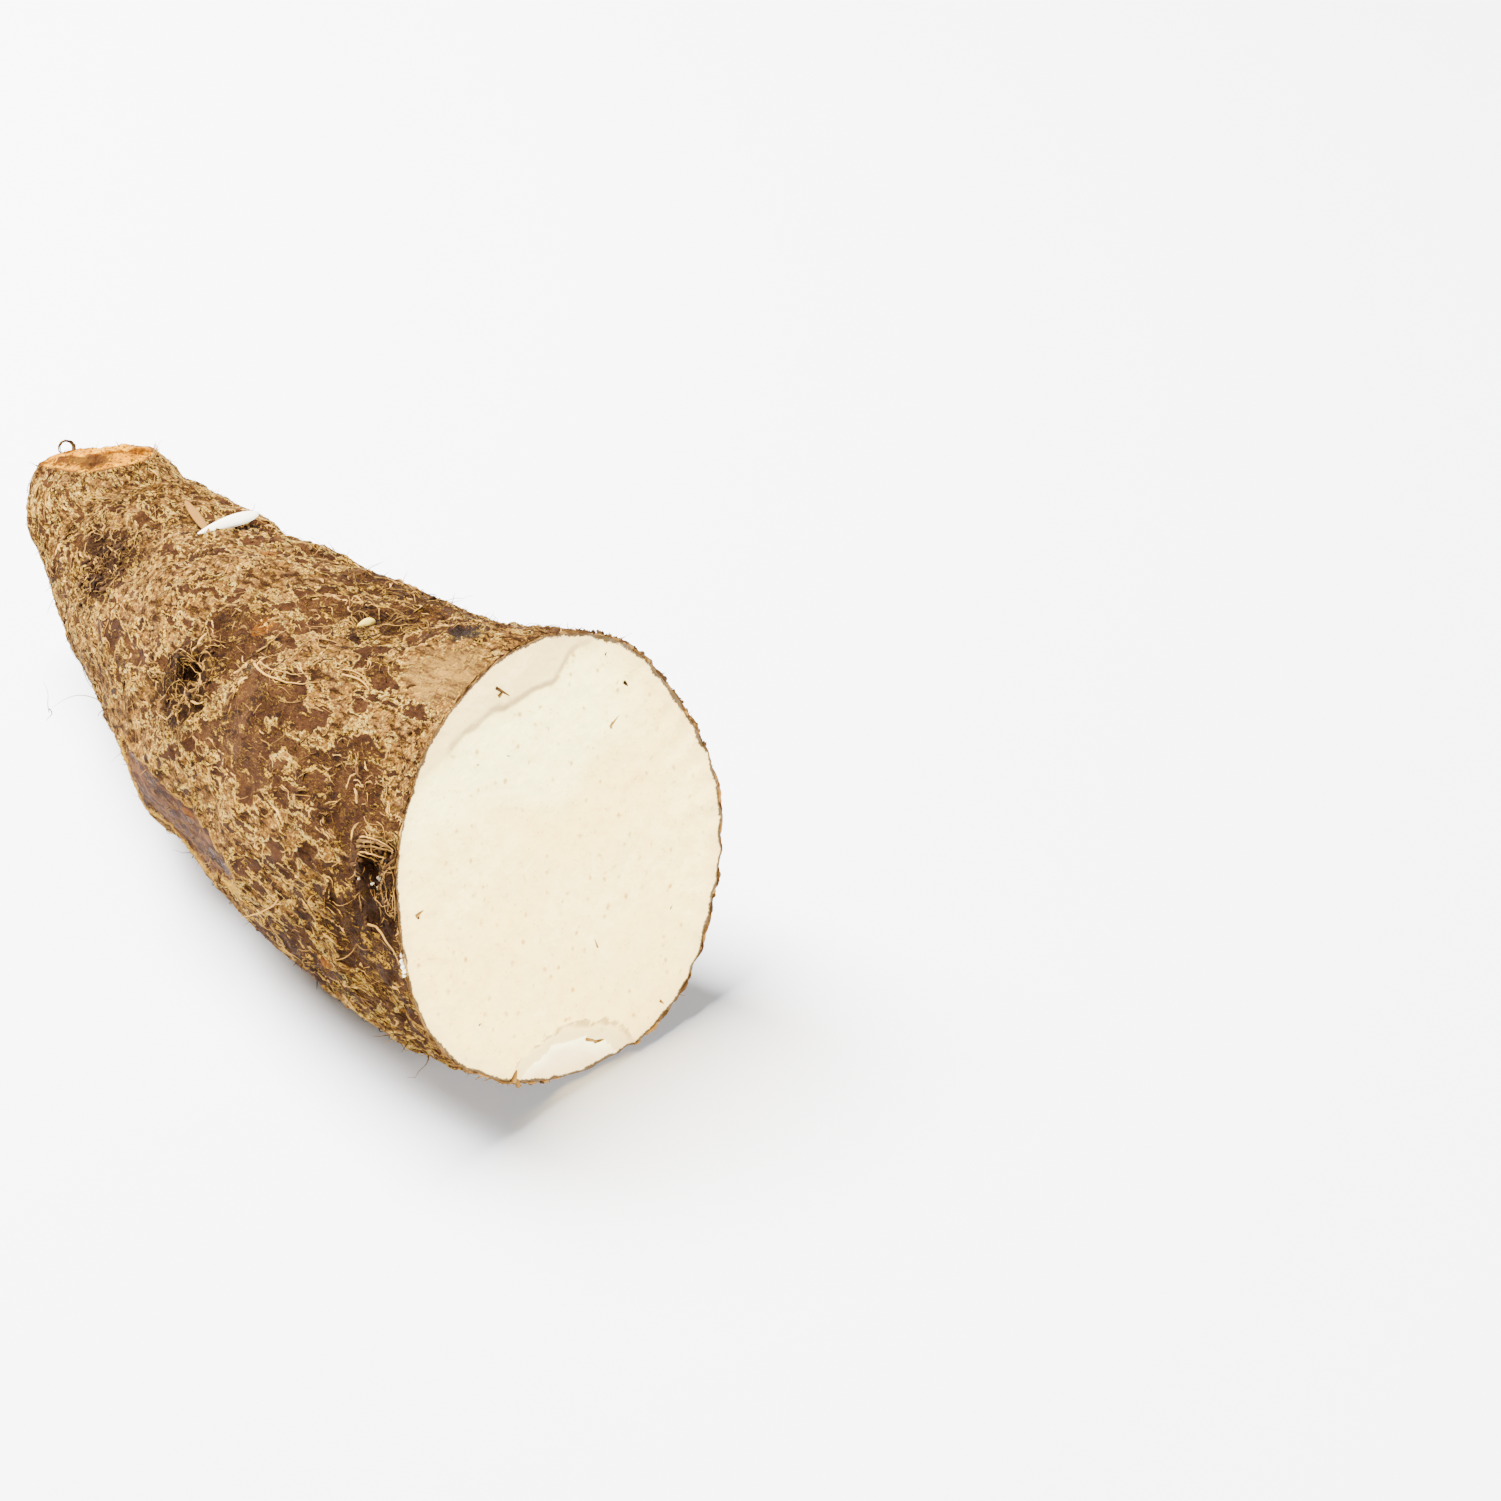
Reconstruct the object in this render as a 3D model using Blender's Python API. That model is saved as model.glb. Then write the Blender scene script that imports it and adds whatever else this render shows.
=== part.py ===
"""One half of a malanga tuber, cut across and lying on a table.

It is one grown piece: a tapering body that lies on its belly, with its neck turned up. The neck ends
in an old slanting cut, and the thick end in a fresh cut. Metres, +Z up. The origin is on the table
under the middle of the tuber's box, and +X runs along the tuber towards the fresh cut.
"""

import math

import bmesh
import bpy
import numpy as np

MM = 0.001

# The middle line from the old cut to the fresh cut: x, y, height above the table and radius, in mm.
STATIONS = np.array([
    (-99.0, 1.5, 39.0, 11.2),
    (-94.0, 1.0, 33.8, 14.2),
    (-85.0, 1.5, 29.0, 16.3),
    (-61.5, 1.5, 25.0, 20.5),
    (-26.0, -0.5, 26.3, 26.3),
    (8.5, 0.3, 29.3, 29.7),
    (36.5, 2.6, 32.0, 32.5),
    (69.5, 12.7, 35.5, 36.0),
])

# Each cut's outward direction: degrees round from +X, and degrees above the table.
OLD_CUT_ROUND, OLD_CUT_RISE = 174.0, 76.0
FRESH_CUT_ROUND, FRESH_CUT_RISE = 20.0, 15.0
OLD_CUT_REACH, FRESH_CUT_REACH = 30.0, 45.0  # how far from a cut the rings still lean with it, in mm

# The mesh: rings along the body, points round it, and the rings of each cut as shares of its radius.
BODY_RINGS = 66
ROUND_POINTS = 54
OLD_CUT_SHARES = (0.3, 0.62, 0.88)
FRESH_CUT_SHARES = (0.2, 0.4, 0.6, 0.76, 0.86, 0.94)

# Slow lumps: height in mm, waves round the body, waves along it, and phase.
LUMPS = (
    (0.70, 2, 1.1, 0.6),
    (0.55, 3, 2.3, 2.0),
    (0.35, 5, 3.7, 4.1),
    (0.22, 7, 6.1, 1.3),
)

# Knuckles and hollows of the body: mm from the old cut, degrees round, reach in mm, height in mm.
KNUCKLES = (
    (47.0, 56.0, 9.0, 1.6),
    (45.0, 131.0, 9.0, -1.1),
    (66.0, 129.0, 10.0, -1.4),
    (82.0, 62.0, 9.0, 1.2),
    (97.0, 172.0, 14.0, 0.9),
    (95.0, 20.0, 14.0, 1.3),
    (130.0, 330.0, 15.0, 1.0),
)

# Leaf scars, which run round the tuber: mm from the old cut, ridge height and ridge width in mm.
LEAF_SCARS = (
    (12.0, 0.4, 1.6),
    (27.0, 0.4, 1.8),
    (45.0, 0.5, 2.0),
    (65.0, 0.4, 2.0),
    (88.0, 0.5, 2.2),
    (111.0, 0.4, 2.2),
    (133.0, 0.5, 2.2),
    (155.0, 0.4, 2.0),
)
SCAR_SWING = 3.2  # how far a scar wanders along the body, in mm

# Bud eyes: mm from the old cut, degrees round, radius, rim height and pit depth in mm.
EYES = (
    (106.5, 143.0, 6.5, 1.1, 2.2),
    (135.0, 93.0, 5.5, 1.3, 1.0),
    (159.0, 87.0, 4.2, 0.8, 0.6),
    (169.0, 162.0, 4.5, 0.8, 1.4),
    (78.0, 10.0, 5.5, 1.1, 1.4),
    (125.0, 350.0, 6.0, 1.2, 1.6),
    (48.0, 300.0, 5.0, 1.0, 1.2),
)
BUD_EYE = 1  # the eye that holds a living bud
BUD_RADIUS, BUD_RISE = 1.6, 1.9  # mm

# Curled edges of the torn outer skin, raised as ribs.
SKIN_EDGES = 44
EDGE_LENGTHS = (6.0, 12.0)  # mm
EDGE_WIDTH, EDGE_RISE, EDGE_SINK = 1.2, 0.7, 0.9  # mm
EDGE_SHAPE = np.array([0.3, 0.85, 1.0, 0.85, 0.3])  # share of the full width and rise along a rib

# Stubs of roots and bud scales.
ROOT_STUBS = 30
STUB_LENGTHS = (1.8, 4.0)  # mm
STUB_RADIUS, STUB_SINK = 0.7, 1.4  # mm
DETAILS_FROM = 42.0  # the neck is kept plain: no rib or stub is closer than this to the old cut, in mm
TRIES = 600  # how many places are drawn at random for each kind of detail
SEED = 11

# The fresh face: where the knife rocked, and where the last edge broke away. Both in mm on the face.
KNIFE_LINE, KNIFE_SLOPE, KNIFE_DROP = 28.0, 0.2, 0.7
CHIP_FROM, CHIP_TO, CHIP_DEPTH, CHIP_REACH = (-23.0, -25.6), (10.8, -31.5), 2.4, 5.0

SKIN_COLOUR = (0.36, 0.22, 0.10)
FLESH_COLOUR = (0.90, 0.85, 0.74)
OLD_CUT_COLOUR = (0.66, 0.37, 0.12)


def direction(round_degrees, rise_degrees):
    """The unit vector that points so far round from +X and so far above the table."""
    a, b = math.radians(round_degrees), math.radians(rise_degrees)
    return np.array([math.cos(a) * math.cos(b), math.sin(a) * math.cos(b), math.sin(b)])


def station_places():
    """How far each station lies from the old cut along the middle line, in mm."""
    steps = np.linalg.norm(np.diff(STATIONS[:, :3], axis=0), axis=1)
    return np.concatenate([[0.0], np.cumsum(steps)])


PLACES = station_places()
LENGTH = PLACES[-1]


def middle(along):
    """Centre, radius and heading of the middle line at these distances, by cubics through the stations."""
    slopes = np.gradient(STATIONS, PLACES, axis=0)
    i = np.clip(np.searchsorted(PLACES, along, side="right") - 1, 0, len(PLACES) - 2)
    span = (PLACES[i + 1] - PLACES[i])[:, None]
    t = (along - PLACES[i])[:, None] / span
    a, b = STATIONS[i], STATIONS[i + 1]
    m, n = slopes[i] * span, slopes[i + 1] * span
    value = (
        (2 * t**3 - 3 * t**2 + 1) * a
        + (t**3 - 2 * t**2 + t) * m
        + (3 * t**2 - 2 * t**3) * b
        + (t**3 - t**2) * n
    )
    slope = (6 * t**2 - 6 * t) * (a - b) + (3 * t**2 - 4 * t + 1) * m + (3 * t**2 - 2 * t) * n
    heading = slope[:, :3] / np.linalg.norm(slope[:, :3], axis=1)[:, None]
    return value[:, :3], value[:, 3], heading


def axes(along):
    """Each ring's centre and radius, and the ways ahead, to its side and to its top.

    The way to the top is longer than one where the ring slants, so that the body stays round."""
    centre, radius, heading = middle(along)
    old = np.clip(1 - along / OLD_CUT_REACH, 0, 1)[:, None] ** 1.5
    fresh = np.clip(1 - (LENGTH - along) / FRESH_CUT_REACH, 0, 1)[:, None] ** 1.5
    ahead = heading * (1 - old - fresh)
    ahead = ahead - old * direction(OLD_CUT_ROUND, OLD_CUT_RISE)
    ahead = ahead + fresh * direction(FRESH_CUT_ROUND, FRESH_CUT_RISE)
    ahead /= np.linalg.norm(ahead, axis=1)[:, None]
    side = np.cross((0.0, 0.0, 1.0), ahead)
    side /= np.linalg.norm(side, axis=1)[:, None]
    slant = np.sum(ahead * heading, axis=1)[:, None]
    return centre, radius, ahead, side, np.cross(ahead, side) / np.clip(slant, 0.6, 1.0)


def gap(along, turn, radius, place, degrees):
    """Distance over the skin from a named place to each point, in mm."""
    turned = (turn - math.radians(degrees) + math.pi) % (2 * math.pi) - math.pi
    return np.hypot(along - place, turned * radius)


def relief(along, turn, radius):
    """How far the skin stands out from the plain body, in mm: lumps, knuckles, leaf scars and eyes."""
    out = np.zeros(np.broadcast(along, turn).shape)
    for height, round_waves, long_waves, phase in LUMPS:
        out += height * np.sin(round_waves * turn + 2 * math.pi * long_waves * along / LENGTH + phase)
    for place, degrees, reach, height in KNUCKLES:
        out += height * np.exp(-((gap(along, turn, radius, place, degrees) / reach) ** 2))
    for number, (place, height, width) in enumerate(LEAF_SCARS):
        wander = SCAR_SWING * np.sin(turn + number * 2.4) + 0.4 * SCAR_SWING * np.sin(3 * turn + number)
        broken = 0.6 + 0.4 * np.sin(2 * turn + number * 1.7)
        out += height * broken * np.exp(-(((along - place - wander) / width) ** 2))
    for place, degrees, size, rim, pit in EYES:
        away = gap(along, turn, radius, place, degrees) / size
        out += rim * np.exp(-(((away - 0.85) / 0.3) ** 2)) - pit * np.exp(-((away / 0.55) ** 2))
    place, degrees = EYES[BUD_EYE][:2]
    bud = gap(along, turn, radius, place, degrees) / BUD_RADIUS
    out += BUD_RISE * np.exp(-((bud / 0.9) ** 4))
    return out


def skin(along, turn, proud=0.0):
    """Points of the skin in mm: the ring's centre, out by its radius and relief, never under the table."""
    centre, radius, _, side, top = axes(along)
    out = (radius + relief(along, turn, radius) + proud)[:, None]
    point = centre + out * (side * np.cos(turn)[:, None] + top * np.sin(turn)[:, None])
    point[:, 2] = np.maximum(point[:, 2], 0.0)
    return point


def smooth_step(low, high, value):
    t = np.clip((value - low) / (high - low), 0, 1)
    return t * t * (3 - 2 * t)


def fresh_depth(across, up):
    """How far the fresh face lies behind its flat plane at each point, in mm."""
    along_chip = np.subtract(CHIP_TO, CHIP_FROM)
    across_chip = np.array([along_chip[1], -along_chip[0]]) / np.linalg.norm(along_chip)
    past = (across - CHIP_FROM[0]) * across_chip[0] + (up - CHIP_FROM[1]) * across_chip[1]
    chip = CHIP_DEPTH * smooth_step(0.0, CHIP_REACH, past)
    knife = KNIFE_DROP * smooth_step(KNIFE_LINE - 1.0, KNIFE_LINE + 5.0, up - KNIFE_SLOPE * across)
    return chip + knife


def body_rings():
    """The rings of points from the old cut's middle to the fresh cut's middle, in mm."""
    turn = np.linspace(0, 2 * math.pi, ROUND_POINTS, endpoint=False)
    body = [skin(np.full(ROUND_POINTS, a), turn) for a in np.linspace(0, LENGTH, BODY_RINGS)]
    centre, _, ahead, side, top = (v[0] for v in axes(np.array([0.0])))
    old = [centre + share * (body[0] - centre) for share in OLD_CUT_SHARES]
    centre, _, ahead, side, top = (v[0] for v in axes(np.array([LENGTH])))
    spokes = body[-1] - centre
    fresh = []
    for share in (*FRESH_CUT_SHARES[::-1], 0.0)[:-1]:
        ring = centre + share * spokes
        depth = fresh_depth((ring - centre) @ side, (ring - centre) @ top)
        fresh.append(ring - depth[:, None] * ahead)
    depth = fresh_depth(spokes @ side, spokes @ top)
    body[-1] = body[-1] - depth[:, None] * ahead
    return old, body, fresh


def material(name, colour, roughness):
    made = bpy.data.materials.new(name)
    made.use_nodes = True
    shader = made.node_tree.nodes["Principled BSDF"]
    shader.inputs["Base Color"].default_value = (*colour, 1.0)
    shader.inputs["Roughness"].default_value = roughness
    shader.inputs["Metallic"].default_value = 0.0
    return made


def mesh_object(name, mesh, materials):
    made = bpy.data.objects.new(name, mesh)
    bpy.context.collection.objects.link(made)
    for one in materials:
        mesh.materials.append(one)
    return made


def closed_from_rings(name, rings, first_tip, last_tip, slots):
    """A mesh that joins each ring to the next and closes both ends on a single point."""
    bm = bmesh.new()
    loops = [[bm.verts.new(p * MM) for p in ring] for ring in rings]
    count = len(loops[0])
    for number, (near, far) in enumerate(zip(loops, loops[1:])):
        for i in range(count):
            j = (i + 1) % count
            face = bm.faces.new((near[i], near[j], far[j], far[i]))
            face.material_index = slots[number]
    start, end = bm.verts.new(first_tip * MM), bm.verts.new(last_tip * MM)
    for i in range(count):
        j = (i + 1) % count
        bm.faces.new((start, loops[0][j], loops[0][i])).material_index = slots[0]
        bm.faces.new((end, loops[-1][i], loops[-1][j])).material_index = slots[-1]
    bmesh.ops.recalc_face_normals(bm, faces=bm.faces)
    mesh = bpy.data.meshes.new(name)
    bm.to_mesh(mesh)
    bm.free()
    return mesh


def tuber_body(materials):
    """The whole body with both cuts, as one closed mesh."""
    old, body, fresh = body_rings()
    rings = old + body + fresh
    slots = [2] * len(old) + [0] * (len(body) - 1) + [1] * len(fresh)
    first, last = (axes(np.array([a]))[0][0] for a in (0.0, LENGTH))
    mesh = closed_from_rings("malanga_half", rings, first, last, slots)
    return mesh_object("malanga_half", mesh, materials)


def helper_collection():
    made = bpy.data.collections.new("raised_details")
    bpy.context.scene.collection.children.link(made)
    return made


def is_free(taken, place, degrees, reach):
    """Whether a detail of this reach, in mm, would touch none of the places already taken."""
    radius = middle(np.array([place]))[1][0]
    for other_place, other_degrees, other_reach in taken:
        if gap(place, math.radians(degrees), radius, other_place, other_degrees) < reach + other_reach:
            return False
    return True


def add_detail(name, rings, ends, collection):
    mesh = closed_from_rings(name, rings, ends[0], ends[1], [0] * (len(rings) - 1))
    collection.objects.link(bpy.data.objects.new(name, mesh))


def ribs_of_torn_skin(random, taken, collection):
    """Three-sided ribs that follow arcs over the skin, thin at both ends, and never cross."""
    steps = np.linspace(-0.5, 0.5, len(EDGE_SHAPE))
    made = 0
    for _ in range(TRIES):
        place, degrees = random.uniform(DETAILS_FROM, LENGTH - 9.0), random.uniform(0.0, 360.0)
        length, heading = random.uniform(*EDGE_LENGTHS), random.uniform(-0.7, 0.7)
        bend = random.choice([-1.0, 1.0]) * random.uniform(0.4, 1.2)
        radius = middle(np.array([place]))[1][0]
        bow = bend * (4 * steps**2 - 0.5) * length / 4
        along = place + steps * length * math.sin(heading) + bow * math.cos(heading)
        sweep = steps * length * math.cos(heading) - bow * math.sin(heading)
        turn = math.radians(degrees) + sweep / radius
        if skin(along, turn)[:, 2].min() < 2.0 or not is_free(taken, place, degrees, 0.52 * length):
            continue
        path = np.gradient(np.stack([along, sweep]), axis=1)
        wide = EDGE_WIDTH / 2 * EDGE_SHAPE * path / np.linalg.norm(path, axis=0)
        low = skin(along - wide[1], turn + wide[0] / radius, -EDGE_SINK)
        high = skin(along + wide[1], turn - wide[0] / radius, -EDGE_SINK)
        crest = skin(along, turn, EDGE_RISE * (2 * EDGE_SHAPE - 1))
        bars = [np.array(bar) for bar in zip(low, high, crest)]
        add_detail(f"rib_{made}", bars, (bars[0].mean(0), bars[-1].mean(0)), collection)
        taken.append((place, degrees, 0.52 * length))
        made += 1
        if made == SKIN_EDGES:
            return


def stubs_of_roots(random, taken, collection):
    """Four-sided spikes that lean over the skin, between the ribs."""
    made = 0
    for _ in range(TRIES):
        place, degrees = random.uniform(DETAILS_FROM, LENGTH - 6.0), random.uniform(0.0, 360.0)
        length, lean = random.uniform(*STUB_LENGTHS), random.uniform(-0.6, 0.6, 2)
        at, turn = np.array([place]), np.array([math.radians(degrees)])
        foot = skin(at, turn, -STUB_SINK)[0]
        rise = skin(at, turn, 1.0)[0] - foot
        rise /= np.linalg.norm(rise)
        across = np.cross(rise, axes(at)[2][0])
        across /= np.linalg.norm(across)
        ahead = np.cross(across, rise)
        tip = foot + rise * (0.6 * length + STUB_SINK) + (ahead * lean[0] + across * lean[1]) * length
        if min(foot[2], tip[2]) < 2.5 or not is_free(taken, place, degrees, 2.0):
            continue
        corners = ((1, 0), (0, 1), (-1, 0), (0, -1))
        base = np.array([foot + STUB_RADIUS * (ahead * a + across * b) for a, b in corners])
        waist = 0.45 * base + 0.55 * tip
        add_detail(f"stub_{made}", [base, waist], (foot, tip), collection)
        taken.append((place, degrees, 2.0))
        made += 1
        if made == ROOT_STUBS:
            return


def fuse(body, collection):
    """Joins the raised details to the body in one Boolean, and removes them."""
    union = body.modifiers.new("raised_details", "BOOLEAN")
    union.operation = "UNION"
    union.operand_type = "COLLECTION"
    union.collection = collection
    union.solver = "MANIFOLD"
    graph = bpy.context.evaluated_depsgraph_get()
    joined = bpy.data.meshes.new_from_object(body.evaluated_get(graph))
    body.modifiers.clear()
    body.data = joined
    for detail in list(collection.objects):
        bpy.data.objects.remove(detail)
    bpy.data.collections.remove(collection)


def centre_on_origin(body):
    """Moves the mesh so that the origin is on the table under the middle of its box."""
    points = np.array([v.co for v in body.data.vertices])
    low, high = points.min(axis=0), points.max(axis=0)
    shift = -(low + high) / 2
    shift[2] = -low[2]
    for vertex in body.data.vertices:
        vertex.co.x += shift[0]
        vertex.co.y += shift[1]
        vertex.co.z += shift[2]


def build():
    for left_over in list(bpy.data.objects):
        bpy.data.objects.remove(left_over)
    materials = [
        material("skin", SKIN_COLOUR, 0.9),
        material("flesh", FLESH_COLOUR, 0.55),
        material("old_cut", OLD_CUT_COLOUR, 0.8),
    ]
    body = tuber_body(materials)
    details = helper_collection()
    random = np.random.RandomState(SEED)
    taken = [(place, degrees, size) for place, degrees, size, _, _ in EYES]
    ribs_of_torn_skin(random, taken, details)
    stubs_of_roots(random, taken, details)
    fuse(body, details)
    centre_on_origin(body)
    body.data.shade_smooth()
    body.data.set_sharp_from_angle(angle=math.radians(38))


build()
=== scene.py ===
"""A halved malanga tuber with shaggy brown skin and a fresh cream-white cut, in soft studio light.

The skin is one closed surface. It is worked out on a grid of distance along the tuber and turn round
it, both in the same numbers as the solid: lengths in mm, and turns where 0 is the far side, 90 the top,
180 the near side and 270 the belly. Curled skin, fibres and soil are thin pieces that grow from it.
"""

import math

import bpy
import numpy as np
from mathutils import Matrix


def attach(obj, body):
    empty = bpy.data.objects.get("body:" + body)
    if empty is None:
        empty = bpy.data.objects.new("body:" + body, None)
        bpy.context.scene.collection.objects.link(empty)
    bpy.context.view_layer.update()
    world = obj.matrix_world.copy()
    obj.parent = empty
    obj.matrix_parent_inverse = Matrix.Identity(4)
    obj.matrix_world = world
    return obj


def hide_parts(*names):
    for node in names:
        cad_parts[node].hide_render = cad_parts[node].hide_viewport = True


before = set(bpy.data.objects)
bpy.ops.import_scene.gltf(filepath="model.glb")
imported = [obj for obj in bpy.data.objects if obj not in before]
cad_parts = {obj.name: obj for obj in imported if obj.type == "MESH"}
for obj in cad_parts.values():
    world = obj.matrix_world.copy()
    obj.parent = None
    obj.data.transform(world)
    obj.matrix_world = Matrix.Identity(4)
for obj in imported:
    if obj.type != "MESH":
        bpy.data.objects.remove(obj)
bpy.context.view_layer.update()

MM = 0.001
TAU = 2 * math.pi

# The tuber's middle line, from the old cut to the fresh cut: x, y, height and radius in mm.
STATIONS = np.array([
    (-99.0, 1.5, 39.0, 11.2),
    (-94.0, 1.0, 33.8, 14.2),
    (-85.0, 1.5, 29.0, 16.3),
    (-61.5, 1.5, 25.0, 20.5),
    (-26.0, -0.5, 26.3, 26.3),
    (8.5, 0.3, 29.3, 29.7),
    (36.5, 2.6, 32.0, 32.5),
    (69.5, 12.7, 35.5, 36.0),
])
CENTRED = np.array([13.44, -8.21, 0.0])  # what moves the middle of the tuber's box to the origin, in mm
# Which way each cut faces, in degrees round and up, and over how many mm the rings turn to face that way.
OLD_CUT_ROUND, OLD_CUT_RISE = 174.0, 76.0
FRESH_CUT_ROUND, FRESH_CUT_RISE = 20.0, 15.0
OLD_CUT_REACH, FRESH_CUT_REACH = 30.0, 45.0

# The same lumps as on the solid: height in mm, waves round, waves along, and phase.
LUMPS = ((0.70, 2, 1.1, 0.6), (0.55, 3, 2.3, 2.0), (0.35, 5, 3.7, 4.1), (0.22, 7, 6.1, 1.3))
# The same knuckles: place along in mm, turn in degrees, reach and height in mm.
KNUCKLES = (
    (47.0, 56.0, 9.0, 1.6),
    (45.0, 131.0, 9.0, -1.1),
    (66.0, 129.0, 10.0, -1.4),
    (82.0, 62.0, 9.0, 1.2),
    (97.0, 172.0, 14.0, 0.9),
    (95.0, 20.0, 14.0, 1.3),
    (130.0, 330.0, 15.0, 1.0),
)
# The same leaf scars: place along, height and width, all in mm.
LEAF_SCARS = (
    (12.0, 0.4, 1.6),
    (27.0, 0.4, 1.8),
    (45.0, 0.5, 2.0),
    (65.0, 0.4, 2.0),
    (88.0, 0.5, 2.2),
    (111.0, 0.4, 2.2),
    (133.0, 0.5, 2.2),
    (155.0, 0.4, 2.0),
)
SCAR_SWING = 3.2  # how far a leaf scar wanders along the tuber, in mm
# The same eyes: place along in mm, turn in degrees, size, height of the rim and depth of the pit in mm.
EYES = (
    (106.5, 143.0, 6.5, 1.1, 2.2),
    (135.0, 93.0, 5.5, 1.3, 1.0),
    (159.0, 87.0, 4.2, 0.8, 0.6),
    (169.0, 162.0, 4.5, 0.8, 1.4),
    (78.0, 10.0, 5.5, 1.1, 1.4),
    (125.0, 350.0, 6.0, 1.2, 1.6),
    (48.0, 300.0, 5.0, 1.0, 1.2),
)
FURRY_EYES, GREY_EYE = (0, 3, 4, 5, 6), 2  # which eyes are dark with root hair, and which is ash grey

# The fresh cut, in mm: the knife's line above its middle, the drop past it, and the chip at its foot.
KNIFE_LINE, KNIFE_DROP = 28.2, 0.7
CHIP_MIDDLE, CHIP_SIZE = (-9.0, -36.0), (16.0, 10.0)

OLD_CUT_DROP = 1.0  # how far the old cut's middle is sunk, in mm
MIDDLE_INWARD = (11.0, 36.0)  # how far the middle of each cut lies from its rim, in mm

# The grid: rings along the skin, points round it, and the rings of the two cuts as shares of the rim.
RINGS, POINTS = 300, 288
OLD_SHARES = (0.25, 0.45, 0.62, 0.76, 0.87, 0.94, 0.98)
FRESH_SHARES = (
    0.995, 0.985, 0.97, 0.95, 0.925, 0.895, 0.86, 0.82, 0.775, 0.73, 0.68, 0.63,
    0.575, 0.52, 0.465, 0.41, 0.355, 0.3, 0.245, 0.19, 0.135, 0.08, 0.03,
)
MEAN_GIRTH = 176  # mm round the tuber
SKIN, FLESH, OLD_CUT = 0, 1, 2  # the places of the materials on the tuber

# Where the outer skin has come off: middle along and round, half length and half width in mm, how much.
BROWN = (
    (114.0, 118.0, 10.0, 7.0, 1.1),
    (131.0, 131.0, 8.0, 6.0, 0.9),
    (107.0, 148.0, 9.0, 8.0, 1.0),
    (122.0, 93.0, 8.0, 4.5, 1.1),
    (137.0, 91.0, 9.0, 6.0, 1.0),
    (150.0, 109.0, 6.0, 4.0, 1.0),
    (156.0, 140.0, 8.0, 6.0, 1.0),
    (161.0, 151.0, 9.0, 7.0, 0.95),
    (143.0, 148.0, 13.0, 8.0, 0.55),
    (128.0, 146.0, 9.0, 5.0, 0.8),
    (157.0, 180.0, 16.0, 11.0, 0.7),
    (170.0, 164.0, 7.0, 10.0, 1.0),
    (165.0, 97.0, 5.0, 3.0, 0.9),
    (148.0, 86.0, 9.0, 5.0, 0.8),
    (48.0, 139.0, 14.0, 7.0, 1.1),
    (34.0, 132.0, 9.0, 6.0, 0.6),
    (80.0, 154.0, 9.0, 4.0, 0.85),
    (75.0, 102.0, 4.0, 2.5, 1.1),
    (102.0, 119.0, 3.5, 2.0, 1.2),
    (118.0, 69.0, 32.0, 6.5, 1.0),
    (68.0, 68.0, 12.0, 5.0, 1.0),
    (150.0, 70.0, 14.0, 4.0, 0.6),
    (28.0, 165.0, 5.0, 3.0, 0.8),
    (130.0, 330.0, 40.0, 30.0, 0.7),
    (70.0, 20.0, 26.0, 16.0, 0.6),
    (110.0, 265.0, 30.0, 14.0, 0.6),
    (158.0, 206.0, 16.0, 9.0, 0.7),
)
STRIP = (106.0, 191.0, 23.0, 6.5)  # the long peeled strip: middle along and round, half sizes in mm
# Soiled spots: place along in mm, turn in degrees, reach in mm, and how dark.
DARK = (
    (48.0, 138.0, 10.0, 1.0),
    (41.0, 134.0, 6.0, 0.8),
    (55.0, 137.0, 6.0, 0.5),
    (60.0, 118.0, 4.0, 0.45),
    (32.0, 133.0, 4.0, 0.5),
    (59.0, 70.0, 4.0, 1.0),
    (67.0, 69.0, 4.0, 0.9),
    (136.0, 93.0, 5.0, 0.55),
    (75.0, 102.0, 2.5, 0.5),
    (102.0, 119.0, 2.2, 0.6),
    (156.0, 176.0, 5.0, 0.5),
    (148.0, 205.0, 9.0, 0.5),
    (172.0, 158.0, 4.0, 1.0),
    (171.0, 172.0, 3.0, 0.8),
    (122.0, 64.0, 14.0, 0.5),
    (170.0, 166.0, 7.0, 0.6),
    (165.0, 178.0, 6.0, 0.5),
    (92.0, 62.0, 10.0, 0.4),
)
# Orange bruises: place along in mm, turn in degrees, and reach in mm.
ORANGE = (
    (88.0, 86.0, 3.0),
    (114.0, 112.0, 3.5),
    (113.0, 116.0, 2.0),
    (115.0, 183.0, 3.0),
    (152.0, 196.0, 3.0),
)
BEIGE = (165.0, 104.0, 12.0, 8.0)  # the smooth patch beside the fresh cut: middle, and half sizes in mm

# The camera: metres away, degrees round and above the table, and where it aims, in mm before centring.
CAMERA_AWAY, CAMERA_ROUND, CAMERA_RISE = 0.7394, 60.0, 30.0
AIM_SHIFT = np.array([0.0, 87.0, 0.0])
IMAGE_SIDE, FOCAL_PIXELS, SENSOR = 1501, 4000.0, 36.0  # pixels, pixels and mm
FLOOR_REACH, WORLD_STRENGTH = 6.0, 0.12  # metres from the middle to the floor's edge, and a plain number
LIGHTS = (  # degrees round from the camera and above the table, then metres away, metres wide, and watts
    ("main", -122.0, 62.0, 1.3, 0.9, 215.0),
    ("right", 48.0, 7.0, 1.3, 0.3, 70.0),
    ("left", -45.0, 9.0, 1.5, 0.4, 7.0),
)


def direction(round_degrees, rise_degrees):
    """The unit vector that points so far round from +X and so far above the table."""
    a, b = math.radians(round_degrees), math.radians(rise_degrees)
    return np.array([math.cos(a) * math.cos(b), math.sin(a) * math.cos(b), math.sin(b)])


def way(round_degrees, rise_degrees):
    """The unit vector towards a viewer who looks so far round, from so far above."""
    a, b = math.radians(round_degrees), math.radians(rise_degrees)
    return np.array([math.sin(a) * math.cos(b), -math.cos(a) * math.cos(b), math.sin(b)])


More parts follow.
